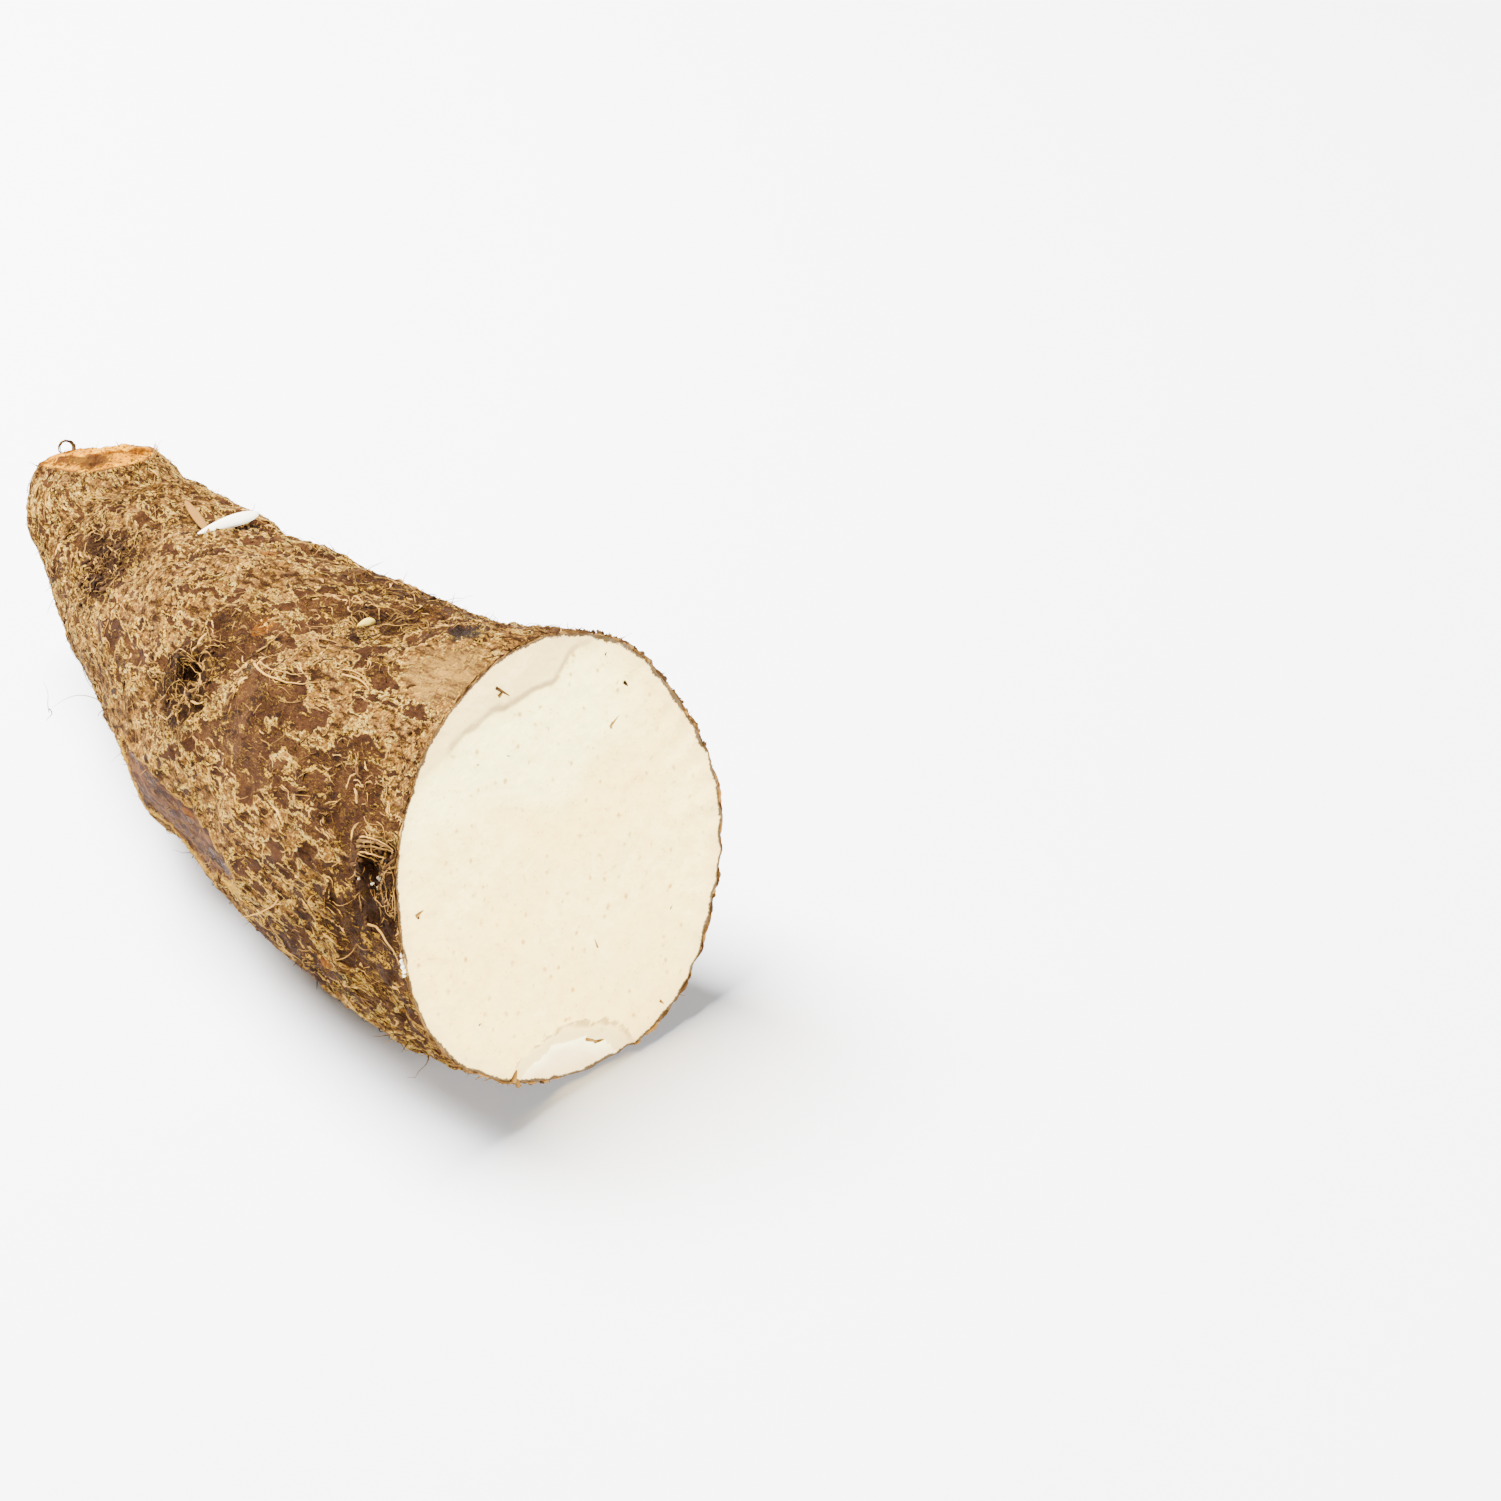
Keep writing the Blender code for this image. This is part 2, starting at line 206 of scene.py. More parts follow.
def look(back):
    """The ways back to a viewer, to the right of the picture and to its top."""
    right = np.cross((0.0, 0.0, 1.0), back)
    right /= np.linalg.norm(right)
    return back, right, np.cross(back, right)


def view_axes():
    """The photo's view: the ways back to the camera, to the picture's right and to its top."""
    return look(way(CAMERA_ROUND, CAMERA_RISE))


def smooth_step(low, high, value):
    """0 below low, 1 above high, and 3t^2 - 2t^3 between them."""
    t = np.clip((value - low) / (high - low), 0, 1)
    return t * t * (3 - 2 * t)


def hump(distance):
    """exp(-distance^2)."""
    return np.exp(-np.square(distance))


PLACES = np.concatenate([[0.0], np.cumsum(np.linalg.norm(np.diff(STATIONS[:, :3], axis=0), axis=1))])
LENGTH = PLACES[-1]


def middle(along):
    """Centre, radius and heading at these distances: a cubic from each station to the next."""
    slopes = np.gradient(STATIONS, PLACES, axis=0)
    i = np.clip(np.searchsorted(PLACES, along, side="right") - 1, 0, len(PLACES) - 2)
    span = (PLACES[i + 1] - PLACES[i])[:, None]
    t = (along - PLACES[i])[:, None] / span
    a, b, m, n = STATIONS[i], STATIONS[i + 1], slopes[i] * span, slopes[i + 1] * span
    value = (
        (2 * t**3 - 3 * t**2 + 1) * a
        + (t**3 - 2 * t**2 + t) * m
        + (3 * t**2 - 2 * t**3) * b
        + (t**3 - t**2) * n
    )
    slope = (6 * t**2 - 6 * t) * (a - b) + (3 * t**2 - 4 * t + 1) * m + (3 * t**2 - 2 * t) * n
    heading = slope[:, :3] / np.linalg.norm(slope[:, :3], axis=1)[:, None]
    return value[:, :3], value[:, 3], heading


def axes(along):
    """Each ring's centre and radius, and the ways ahead, to its side and to its top."""
    centre, radius, heading = middle(along)
    old = np.clip(1 - along / OLD_CUT_REACH, 0, 1)[:, None] ** 1.5
    fresh = np.clip(1 - (LENGTH - along) / FRESH_CUT_REACH, 0, 1)[:, None] ** 1.5
    ahead = heading * (1 - old - fresh)
    ahead = ahead - old * direction(OLD_CUT_ROUND, OLD_CUT_RISE)
    ahead = ahead + fresh * direction(FRESH_CUT_ROUND, FRESH_CUT_RISE)
    ahead /= np.linalg.norm(ahead, axis=1)[:, None]
    side = np.cross((0.0, 0.0, 1.0), ahead)
    side /= np.linalg.norm(side, axis=1)[:, None]
    slant = np.sum(ahead * heading, axis=1)[:, None]
    return centre, radius, ahead, side, np.cross(ahead, side) / np.clip(slant, 0.6, 1.0)


def turned(turn, degrees):
    """How far each turn is from a named one, the short way round, in radians."""
    return (turn - math.radians(degrees) + math.pi) % TAU - math.pi


def gap(along, turn, radius, place, degrees):
    """Distance over the skin from a named place, in mm."""
    return np.hypot(along - place, turned(turn, degrees) * radius)


def soft_noise(u, v, count, seed):
    """Random heights from -1 to 1 on the whole numbers of u and v, joined by smooth steps.

    It repeats in v after count, so it closes round the tuber."""
    table = np.random.RandomState(seed).uniform(-1, 1, (256, count))
    i, j = np.floor(u).astype(int), np.floor(v).astype(int)
    a, b = smooth_step(0, 1, u - i), smooth_step(0, 1, v - j)
    near, far = i % 256, (i + 1) % 256
    here, next_ = j % count, (j + 1) % count
    low = table[near, here] * (1 - a) + table[far, here] * a
    high = table[near, next_] * (1 - a) + table[far, next_] * a
    return low * (1 - b) + high * b


def streaks(s, share, length, count, seed):
    """Soft noise whose humps are so many mm along the tuber, with count of them round it."""
    return soft_noise(s / length, share * count, count, seed)


def past_knife(across, up):
    """How far a point of the fresh face is above the knife's bent line, in mm."""
    bend = 3.2 * smooth_step(6.0, 14.0, across) - 3.8 * smooth_step(-8.0, -26.0, across)
    return up - (KNIFE_LINE + bend + 0.25 * np.sin(0.7 * across))


def knife_band(across, up):
    """1 on the bright band under the knife's line, where the flesh has a painted highlight, and 0 on the face
    below it.
    """
    low = 15.5 - 6.5 * hump((across - 2.0) / 9.0)
    return smooth_step(-2.0, 3.0, up - low) * (1 - 0.8 * smooth_step(14.0, 27.0, across))


def inside_chip(across, up):
    """How far a point of the fresh face is inside the chip at its foot, a torn, tilted oval, in mm."""
    x = across - CHIP_MIDDLE[0]
    y = up - CHIP_MIDDLE[1] + 0.12 * x
    oval = CHIP_SIZE[1] * (1 - np.hypot(x / CHIP_SIZE[0], y / CHIP_SIZE[1]))
    return oval + 0.25 * np.sin(across * 0.6) + 0.10 * np.sin(across * 1.7 + 1.0)


def fresh_depth(across, up):
    """How far the fresh face lies behind its plane, in mm: chip, drop past the knife, ripples and rays."""
    inside = inside_chip(across, up)
    chip = 1.1 * smooth_step(0.0, 0.8, inside) + 0.7 * smooth_step(2.6, 3.3, inside)
    crumbly = 0.2 * smooth_step(0.5, 2.0, inside) * np.sin(1.1 * across + 1.5 * up)
    chip += 0.8 * smooth_step(3.0, 9.0, inside) + crumbly
    past = past_knife(across, up)
    knife = KNIFE_DROP * smooth_step(-1.0, 5.0, past) + 0.45 * smooth_step(-0.5, 0.3, past)
    knife += 0.25 * smooth_step(2.0, -3.0, past) * knife_band(across, up)
    ripple = 0.10 * np.sin(0.35 * up + 0.12 * across) + 0.06 * np.sin(0.8 * up - 0.3 * across + 1.0)
    rays = 0.18 * smooth_step(25.0, 34.0, np.hypot(across, up)) * np.sin(40.0 * np.arctan2(up, across))
    rays = rays * smooth_step(8.0, 26.0, across)
    return chip + knife + ripple + rays


class Skin:
    """The skin on its grid: where each point is, which way it faces, and what grows there."""

    def __init__(self):
        self.along = np.linspace(0, LENGTH, RINGS)
        self.turn = np.linspace(0, TAU, POINTS, endpoint=False)
        s = self.along[:, None] + np.zeros(POINTS)
        t = self.turn[None, :] + np.zeros((RINGS, 1))
        centre, radius, ahead, side, top = axes(self.along)
        self.radius = radius[:, None] + np.zeros(POINTS)
        self.paint(s, t)
        self.peel_off(s, t)
        out = self.radius + self.plain_relief(s, t) + self.fine_relief(s, t)
        ray = side[:, None] * np.cos(t)[..., None] + top[:, None] * np.sin(t)[..., None]
        self.points = centre[:, None] + out[..., None] * ray
        self.points[..., 2] = np.maximum(self.points[..., 2], 0.0)
        self.flatten_ends(ahead)
        self.rim = self.points[-1].copy()
        self.push_back(centre[-1], ahead[-1], side[-1], top[-1])
        self.normals = self.find_normals(ray)
        self.straight = np.stack([s, out * np.cos(t), out * np.sin(t)], axis=-1)

    def plain_relief(self, s, t):
        """Lumps, knuckles, leaf scars and eyes, as on the solid, in mm."""
        out = np.zeros(s.shape)
        for height, round_waves, long_waves, phase in LUMPS:
            out += height * np.sin(round_waves * t + TAU * long_waves * s / LENGTH + phase)
        for place, degrees, reach, height in KNUCKLES:
            out += height * hump(gap(s, t, self.radius, place, degrees) / reach)
        for number, (place, height, width) in enumerate(LEAF_SCARS):
            wander = SCAR_SWING * np.sin(t + number * 2.4) + 0.4 * SCAR_SWING * np.sin(3 * t + number)
            broken = 0.6 + 0.4 * np.sin(2 * t + number * 1.7)
            out += height * broken * hump((s - place - wander) / width)
        for place, degrees, size, rim, pit in EYES:
            away = gap(s, t, self.radius, place, degrees) / size
            out += rim * hump((away - 0.85) / 0.3) - pit * hump(away / 0.55)
        return out

    def spot(self, s, t, place, degrees, half_s, half_t):
        """1 in the middle of an oval spot on the skin, and exp(-1) at its half sizes."""
        across = turned(t, degrees) * self.radius
        return hump(np.hypot((s - place) / half_s, across / half_t))

    def paint(self, s, t):
        """Where the skin is bare, smooth, shaggy, dark, orange or grey, each as a number on the grid."""
        self.region = np.zeros(s.shape)
        for place, degrees, half_s, half_t, strength in BROWN:
            self.region += strength * self.spot(s, t, place, degrees, half_s, half_t)
        self.beige = self.spot(s, t, *BEIGE)
        self.region = np.clip(self.region, 0, 1) * (1 - 0.9 * self.beige)

        self.shaggy = 0.3 + 0.65 * hump(turned(t, 68.0) / 0.55) + 0.4 * hump((s - 32) / 26)
        self.shaggy += 0.3 * self.region
        self.shaggy += 0.35 * hump(turned(t, 190.0) / 0.6) + 0.5 * self.spot(s, t, 86.0, 152.0, 20.0, 7.0)
        self.shaggy = np.clip(self.shaggy * (1 - 0.7 * self.beige), 0, 1)

        self.dark = np.zeros(s.shape)
        for place, degrees, reach, strength in DARK:
            self.dark += strength * self.spot(s, t, place, degrees, reach, 0.8 * reach)
        for number in FURRY_EYES:
            place, degrees, size = EYES[number][:3]
            self.dark += 1.4 * self.spot(s, t, place, degrees, 1.35 * size, 1.05 * size)
        self.dark = np.clip(self.dark, 0, 1.2)
        self.orange = np.zeros(s.shape)
        for place, degrees, reach in ORANGE:
            self.orange += self.spot(s, t, place, degrees, reach, 0.6 * reach)
        place, degrees, size = EYES[GREY_EYE][:3]
        self.grey = self.spot(s, t, place, degrees, 0.95 * size, 0.7 * size)
        self.grey += 0.8 * self.spot(s, t, 122, 127, 2.5, 1)

    def peel_off(self, s, t):
        """How far inside a peeled patch, and inside the long strip, each point lies, in mm."""
        share = t / TAU
        bend_s = 2.2 * streaks(s, share, 7.0, 30, 1) + 1.1 * streaks(s, share, 2.4, 80, 2)
        bend_t = (1.3 * streaks(s, share, 7.0, 30, 3) + 0.7 * streaks(s, share, 2.4, 80, 4)) / MEAN_GIRTH
        u, v = s + bend_s, share + bend_t
        rough = 0.55 * streaks(u, v, 8.0, 42, 5) + 0.4 * streaks(u, v, 4.0, 84, 6)
        rough += 0.25 * streaks(u, v, 2.0, 150, 7)
        peel = 0.60 * self.region - 0.40 + 0.8 * rough

        place, degrees, half_s, half_t = STRIP
        across = turned(t, degrees) * self.radius
        ragged = 0.22 * streaks(s, share, 6.0, 40, 9) + 0.12 * streaks(s, share, 2.0, 110, 10)
        oval = (np.abs(s - place) / half_s) ** 3 + (np.abs(across) / half_t) ** 3
        self.strip = (1 - np.cbrt(oval) + ragged) * half_t
        peel -= 0.5 * smooth_step(-0.5, 0.5, self.strip)
        self.peel = np.clip(peel / np.maximum(np.hypot(*self.slopes(peel)), 0.06), -4, 4)

    def slopes(self, grid):
        """How much the values on the grid rise for each mm along and round."""
        rise = np.roll(grid, -1, axis=1) - np.roll(grid, 1, axis=1)
        return np.gradient(grid, self.along, axis=0), rise / (2 * TAU / POINTS * self.radius)

    def fine_relief(self, s, t):
        """Sunken patches with raised edges, the sunken strip, and grain, in mm."""
        share = t / TAU
        edge = smooth_step(-1.3, -0.5, self.peel) * (1 - smooth_step(-0.3, 0.3, self.peel))
        sunken = smooth_step(-0.2, 0.5, self.peel)
        grain = 0.13 * streaks(s, share, 1.5, 150, 11) + 0.10 * streaks(s, share, 0.8, 240, 12)
        lumps = 0.38 * streaks(s, share, 7.0, 42, 13) + 0.22 * streaks(s, share, 3.0, 90, 14)
        inside = smooth_step(-0.5, 0.5, self.strip)
        lip = smooth_step(-2.2, -0.9, self.strip) * (1 - smooth_step(-0.6, 0.3, self.strip))
        calm = 1 - 0.6 * self.beige - 0.5 * inside
        belly = 1 + 1.6 * self.spot(s, t, 160.0, 206.0, 26.0, 13.0)
        clods = 0.6 * streaks(s, share, 1.8, 110, 15) + 0.35 * streaks(s, share, 0.9, 200, 16)
        wrinkles = 0.14 * self.beige * np.sin(t * 120 + 3 * streaks(s, share, 6.0, 30, 17))
        body = (grain + lumps) * calm * belly + 0.22 * edge - 0.25 * sunken + 0.3 * lip - 0.4 * inside
        body += np.clip(self.dark, 0, 1) * clods + wrinkles
        fade = smooth_step(0.0, 1.2, s) * smooth_step(0.0, 2.0, LENGTH - s)
        ragged = 0.5 * hump(s / 2.0) * streaks(s, share, 3.0, 30, 18)
        return body * (0.25 + 0.75 * fade) + ragged - 1.2 * hump(s / 2.4)

    def flatten_ends(self, ahead):
        """Lays the last ring at each end in the plane of its cut."""
        for ring in (0, -1):
            middle_point = self.points[ring].mean(axis=0)
            off = (self.points[ring] - middle_point) @ ahead[ring]
            self.points[ring] -= off[:, None] * ahead[ring]

    def push_back(self, centre, ahead, side, top):
        """Moves the skin by the fresh cut back as far as the cut lies behind its plane at the rim."""
        depth = fresh_depth((self.rim - centre) @ side, (self.rim - centre) @ top)
        share = smooth_step(LENGTH - 9.0, LENGTH, self.along)[:, None]
        self.points -= (share * depth)[..., None] * ahead
        self.points[..., 2] = np.maximum(self.points[..., 2], 0.0)

    def find_normals(self, ray):
        """The cross product of the steps along and round, turned to face outwards."""
        long_step = np.gradient(self.points, axis=0)
        round_step = np.roll(self.points, -1, axis=1) - np.roll(self.points, 1, axis=1)
        normal = np.cross(round_step, long_step)
        normal *= np.sign(np.sum(normal * ray, axis=-1))[..., None]
        return normal / np.maximum(np.linalg.norm(normal, axis=-1), 1e-9)[..., None]

    def sample(self, grid, s, t):
        """A grid's values at any distance and turn, by straight lines between its points."""
        x = np.clip(s / LENGTH, 0, 1) * (RINGS - 1)
        y = (t / TAU) % 1.0 * POINTS
        i, j = np.minimum(x.astype(int), RINGS - 2), y.astype(int) % POINTS
        a, b = x - i, y - np.floor(y)
        k = (j + 1) % POINTS
        if grid.ndim == 3:
            a, b = a[..., None], b[..., None]
        here = grid[i, j] * (1 - a) + grid[i + 1, j] * a
        return here * (1 - b) + (grid[i, k] * (1 - a) + grid[i + 1, k] * a) * b


skin = Skin()


def give_mesh(name, points, faces, materials):
    """A mesh object at the origin, from points in mm before centring. None ends up under the table."""
    mesh = bpy.data.meshes.new(name)
    points = (np.asarray(points).reshape(-1, 3) + CENTRED) * MM
    points[:, 2] = np.maximum(points[:, 2], 0.0)
    mesh.from_pydata(points, [], faces)
    for one in materials:
        mesh.materials.append(one)
    mesh.polygons.foreach_set("use_smooth", np.ones(len(mesh.polygons), bool))
    made = bpy.data.objects.new(name, mesh)
    bpy.context.scene.collection.objects.link(made)
    return made


def give_attribute(piece, name, values):
    """Stores one number or one vector for each point of a piece."""
    values = np.asarray(values, np.float32)
    if values.ndim == 1:
        piece.data.attributes.new(name, "FLOAT", "POINT").data.foreach_set("value", values)
    else:
        piece.data.attributes.new(name, "FLOAT_VECTOR", "POINT").data.foreach_set("vector", values.ravel())


def tube_faces(rings, points, count=1):
    """The quads of count closed tubes, each of rings by points, with both ends shut by a fan."""
    i, j = np.meshgrid(np.arange(rings - 1), np.arange(points), indexing="ij")
    a, b = i * points + j, i * points + (j + 1) % points
    quads = np.stack([a, b, b + points, a + points], axis=-1).reshape(-1, 4)
    each = rings * points
    start = (np.arange(count) * each)[:, None, None]
    quads = (quads[None] + start).reshape(-1, 4)
    ends = np.arange(points)
    caps = np.stack([ends[::-1], ends + each - points])
    caps = (caps[None] + start).reshape(-1, points)
    return quads.tolist() + caps.tolist()


class Socket:
    """A shader socket that Python's own arithmetic joins to others with Math nodes."""

    def __init__(self, graph, socket):
        self.graph, self.socket = graph, socket

    def join(self, operation, first, second):
        """A Math node on two sockets or numbers."""
        return self.graph.node("ShaderNodeMath", {"operation": operation}, {0: first, 1: second})

    def __add__(self, other):
        return self.join("ADD", self, other)

    def __sub__(self, other):
        return self.join("SUBTRACT", self, other)

    def __rsub__(self, other):
        return self.join("SUBTRACT", other, self)

    def __mul__(self, other):
        return self.join("MULTIPLY", self, other)

    __radd__ = __add__
    __rmul__ = __mul__


class Graph:
    """The nodes of one material."""

    def __init__(self, name):
        self.material = bpy.data.materials.new(name)
        self.material.use_nodes = True
        self.tree = self.material.node_tree
        self.shader = self.tree.nodes["Principled BSDF"]

    def node(self, kind, settings=None, inputs=None, output=0):
        """Adds a node: its settings first, then the values or links of its sockets."""
        made = self.tree.nodes.new(kind)
        for name, value in (settings or {}).items():
            setattr(made, name, value)
        for name, value in (inputs or {}).items():
            self.feed(made.inputs[name], value)
        return Socket(self, made.outputs[output])

    def feed(self, target, value):
        """Links a socket to the target, or gives the target a value of its own."""
        if isinstance(value, Socket):
            self.tree.links.new(value.socket, target)
        else:
            target.default_value = value

    def attribute(self, name, output="Fac"):
        """A number or vector that is stored on the piece's points."""
        return self.node("ShaderNodeAttribute", {"attribute_name": name}, output=output)

    def step(self, value, low, high, first=0.0, last=1.0):
        """A smooth step from first to last as value goes from low to high."""
        ends = {"From Min": low, "From Max": high, "To Min": first, "To Max": last}
        return self.node("ShaderNodeMapRange", {"interpolation_type": "SMOOTHSTEP"}, {"Value": value, **ends})

    def noise(self, vector, scale, detail=4.0, roughness=0.55, output="Fac"):
        """Soft noise from 0 to 1."""
        ends = {"Vector": vector, "Scale": scale, "Detail": detail, "Roughness": roughness}
        return self.node("ShaderNodeTexNoise", None, ends, output)

    def largest(self, first, second):
        """The larger of two numbers."""
        return self.node("ShaderNodeMath", {"operation": "MAXIMUM"}, {0: first, 1: second})

    def distance(self, value, other):
        """How far apart two numbers are."""
        return self.node("ShaderNodeMath", {"operation": "ABSOLUTE"}, {0: value - other})

    def cells(self, vector, scale):
        """The distance to the nearest of many scattered points."""
        ends = {"Vector": vector, "Scale": scale}
        return self.node("ShaderNodeTexVoronoi", {"feature": "F1"}, ends, "Distance")

    def stretch(self, vector, scale):
        """The vector, multiplied axis by axis."""
        return self.node("ShaderNodeVectorMath", {"operation": "MULTIPLY"}, {0: vector, 1: scale})

    def nudge(self, vector, other, amount):
        """vector plus amount times other, where other runs from 0 to 1 and is centred first."""
        centred = self.node("ShaderNodeVectorMath", {"operation": "SUBTRACT"}, {0: other, 1: (0.5, 0.5, 0.5)})
        sized = self.node("ShaderNodeVectorMath", {"operation": "SCALE"}, {0: centred, "Scale": amount})
        return self.node("ShaderNodeVectorMath", {"operation": "ADD"}, {0: vector, 1: sized})

    def mix(self, first, second, share):
        """A colour between first and second."""
        settings = {"data_type": "RGBA", "blend_type": "MIX"}
        return self.node("ShaderNodeMix", settings, {0: share, 6: first, 7: second}, output=2)

    def shade(self, first, share, tone):
        """first, multiplied by tone for that share."""
        settings = {"data_type": "RGBA", "blend_type": "MULTIPLY"}
        return self.node("ShaderNodeMix", settings, {0: share, 6: first, 7: tone}, output=2)

    def set(self, **constants):
        """Sets values of the shader that are the same everywhere."""
        for name, value in constants.items():
            self.shader.inputs[name.replace("_", " ")].default_value = value

    def finish(self, colour, roughness, height=None):
        """Feeds the shader: colour, roughness, and bumps of that height in mm."""
        self.feed(self.shader.inputs["Base Color"], colour)
        self.feed(self.shader.inputs["Roughness"], roughness)
        if height is not None:
            ends = {"Height": height, "Distance": MM, "Strength": 1.0}
            self.feed(self.shader.inputs["Normal"], self.node("ShaderNodeBump", None, ends))
        return self.material


def tint(red, green, blue):
    """A colour for the shader, from how much it reflects of red, green and blue."""
    return red, green, blue, 1.0


TAN, LIGHT_TAN, DULL_TAN = tint(0.138, 0.062, 0.021), tint(0.34, 0.152, 0.026), tint(0.19, 0.105, 0.043)
PALE, BONE = tint(0.88, 0.47, 0.048), tint(1.0, 0.68, 0.16)
BROWN_SKIN, RED_BROWN = tint(0.058, 0.0205, 0.0055), tint(0.095, 0.036, 0.011)
DEEP_BROWN, SOIL = tint(0.022, 0.0080, 0.0022), tint(0.018, 0.009, 0.004)
OCHRE, ASH, BUFF = tint(0.28, 0.085, 0.005), tint(0.055, 0.046, 0.04), tint(0.46, 0.24, 0.045)
WHITE = tint(1.0, 1.0, 1.0)


class SkinGraph(Graph):
    """The skin's nodes, with the attributes and noises that its layers share."""

    def __init__(self):
        super().__init__("malanga_skin")
        self.region, self.shaggy = self.attribute("region"), self.attribute("shaggy")
        place = self.attribute("straight", "Vector")
        drawn_out = self.stretch(place, (0.42, 1.0, 1.0))
        self.swirl = self.nudge(drawn_out, self.noise(place, 0.45, 2.0, output="Color"), 1.5)
        self.broad, self.medium = self.noise(place, 0.05, 3.0), self.noise(place, 0.25, 4.0)
        self.patches = self.noise(self.swirl, 0.34, 7.0, 0.60)
        self.flakes = self.noise(self.swirl, 1.1, 5.0, 0.62)
        self.grain, self.dust = self.noise(place, 1.7, 4.0, 0.65), self.noise(place, 4.5, 3.0, 0.6)
        self.grained = self.noise(self.stretch(place, (0.12, 1.0, 1.0)), 1.0, 5.0, 0.6)


def outer_skin(g):
    """Tan skin with pale grain, thin pale lines and dark flecks: its colour, and where the flecks are."""
    spots = g.noise(g.swirl, 0.85, 5.0, 0.68) + (g.grain - 0.5) * 0.3 + g.shaggy * 0.065
    line = g.distance(g.noise(g.stretch(g.swirl, (0.4, 1.0, 1.0)), 1.3, 3.0, 0.6), 0.5)
    lines = (1.0 - g.step(line, 0.005, 0.020)) * g.step(g.grain, 0.42, 0.52)
    colour = g.mix(TAN, LIGHT_TAN, g.step(g.flakes, 0.36, 0.56))
    colour = g.mix(colour, DULL_TAN, g.step(g.medium, 0.45, 0.62) * 0.5)
    colour = g.mix(colour, PALE, g.step(g.grain, 0.52, 0.62) * 0.75)
    colour = g.mix(colour, BROWN_SKIN, g.step(g.grain, 0.44, 0.35) * 0.8)
    fleck = g.step(spots, 0.535, 0.56)
    colour = g.mix(colour, BROWN_SKIN, fleck * 0.85)
    colour = g.mix(colour, DEEP_BROWN, g.step(spots, 0.575, 0.60) * 0.85)
    colour = g.mix(colour, PALE, lines * 0.3)
    light = g.step(g.grain + (g.flakes - 0.5) * 0.4, 0.58, 0.62) * (1.0 - fleck)
    colour = g.mix(colour, BONE, light * 0.8)
    colour = g.shade(colour, g.shaggy * 0.65, tint(0.62, 0.57, 0.54))
    return g.shade(colour, g.step(g.region, 0.3, 1.0) * 0.5, tint(0.66, 0.62, 0.60)), fleck


def bare_skin(g):
    """The brown under the outer skin, where the skin has peeled, and where its pale torn rim is."""
    brown = g.mix(DEEP_BROWN, BROWN_SKIN, g.step(g.flakes, 0.34, 0.56))
    brown = g.mix(brown, RED_BROWN, g.step(g.medium, 0.46, 0.6) * 0.8)
    brown = g.mix(brown, LIGHT_TAN, g.step(g.dust, 0.60, 0.74) * 0.15)

    peel = g.attribute("peel")
    small = (g.patches - 0.5) * 3.2 + (g.grain - 0.5) * 0.25 + g.region * 0.50 - 0.30
    large = peel - g.step(peel, 0.3, 4.0) * 3.7 + (g.flakes - 0.5) * 4.2 + (g.grain - 0.5) * 2.4
    peeled = g.largest(g.step(small, 0.0, 0.03), g.step(large, -0.1, 0.15))
    small_rim = g.step(small, -0.17, -0.09) * (1.0 - g.step(small, -0.03, 0.01))
    large_rim = g.step(large, -0.75, -0.45) * (1.0 - g.step(large, -0.2, 0.05))
    rim = g.largest(small_rim, large_rim) * (1.0 - peeled) * g.step(g.grain, 0.36, 0.5)
    return brown, peeled, rim


def peeled_strip(g, colour):
    """Lays the long, streaky strip and its pale lip over a colour. Gives both the colour and the strip."""
    strip = g.attribute("strip") + (g.flakes - 0.5) * 2.4 + (g.grain - 0.5) * 1.4
    in_strip = g.step(strip, -0.15, 0.1)
    inner = g.mix(tint(0.055, 0.018, 0.005), tint(0.18, 0.066, 0.017), g.step(g.grained, 0.42, 0.60))
    inner = g.mix(inner, tint(0.030, 0.015, 0.010), g.step(g.patches, 0.48, 0.56) * 0.6)
    inner = g.mix(inner, LIGHT_TAN, g.step(g.flakes + (g.grain - 0.5) * 0.5, 0.56, 0.62) * 0.8)
    colour = g.mix(colour, inner, in_strip)
    lip = g.step(strip, -1.1, -0.5) * (1.0 - in_strip)
    return g.mix(colour, PALE, lip * 0.5), in_strip


def stains(g, colour):
    """Lays soil, bruises, ash and the smooth patch over a colour. Gives both the colour and the soil."""
    soil = g.step(g.attribute("dark") + (g.grain - 0.5) * 2.6 + (g.flakes - 0.5) * 2.4, 0.34, 0.80)
    clod = g.mix(SOIL, BROWN_SKIN, g.step(g.dust + (g.grain - 0.5) * 0.6, 0.40, 0.60))
    colour = g.mix(colour, clod, soil * 0.9)
    bruise = g.step(g.attribute("orange") + (g.grain - 0.5) * 1.3, 0.45, 0.8)
    colour = g.mix(colour, OCHRE, bruise * g.step(g.flakes, 0.38, 0.52) * 0.8)
    ash = g.step(g.attribute("grey") + (g.grain - 0.5) * 1.5, 0.3, 0.6)
    colour = g.mix(colour, g.mix(SOIL, ASH, g.step(g.dust, 0.44, 0.60)), ash * 0.85)
    wrinkled = g.mix(TAN, BUFF, g.step(g.grained + (g.grain - 0.5) * 0.4, 0.36, 0.56))
    smooth = g.step(g.attribute("beige") + (g.medium - 0.5) * 0.9, 0.4, 0.75)
    return g.mix(colour, wrinkled, smooth * 0.7), soil


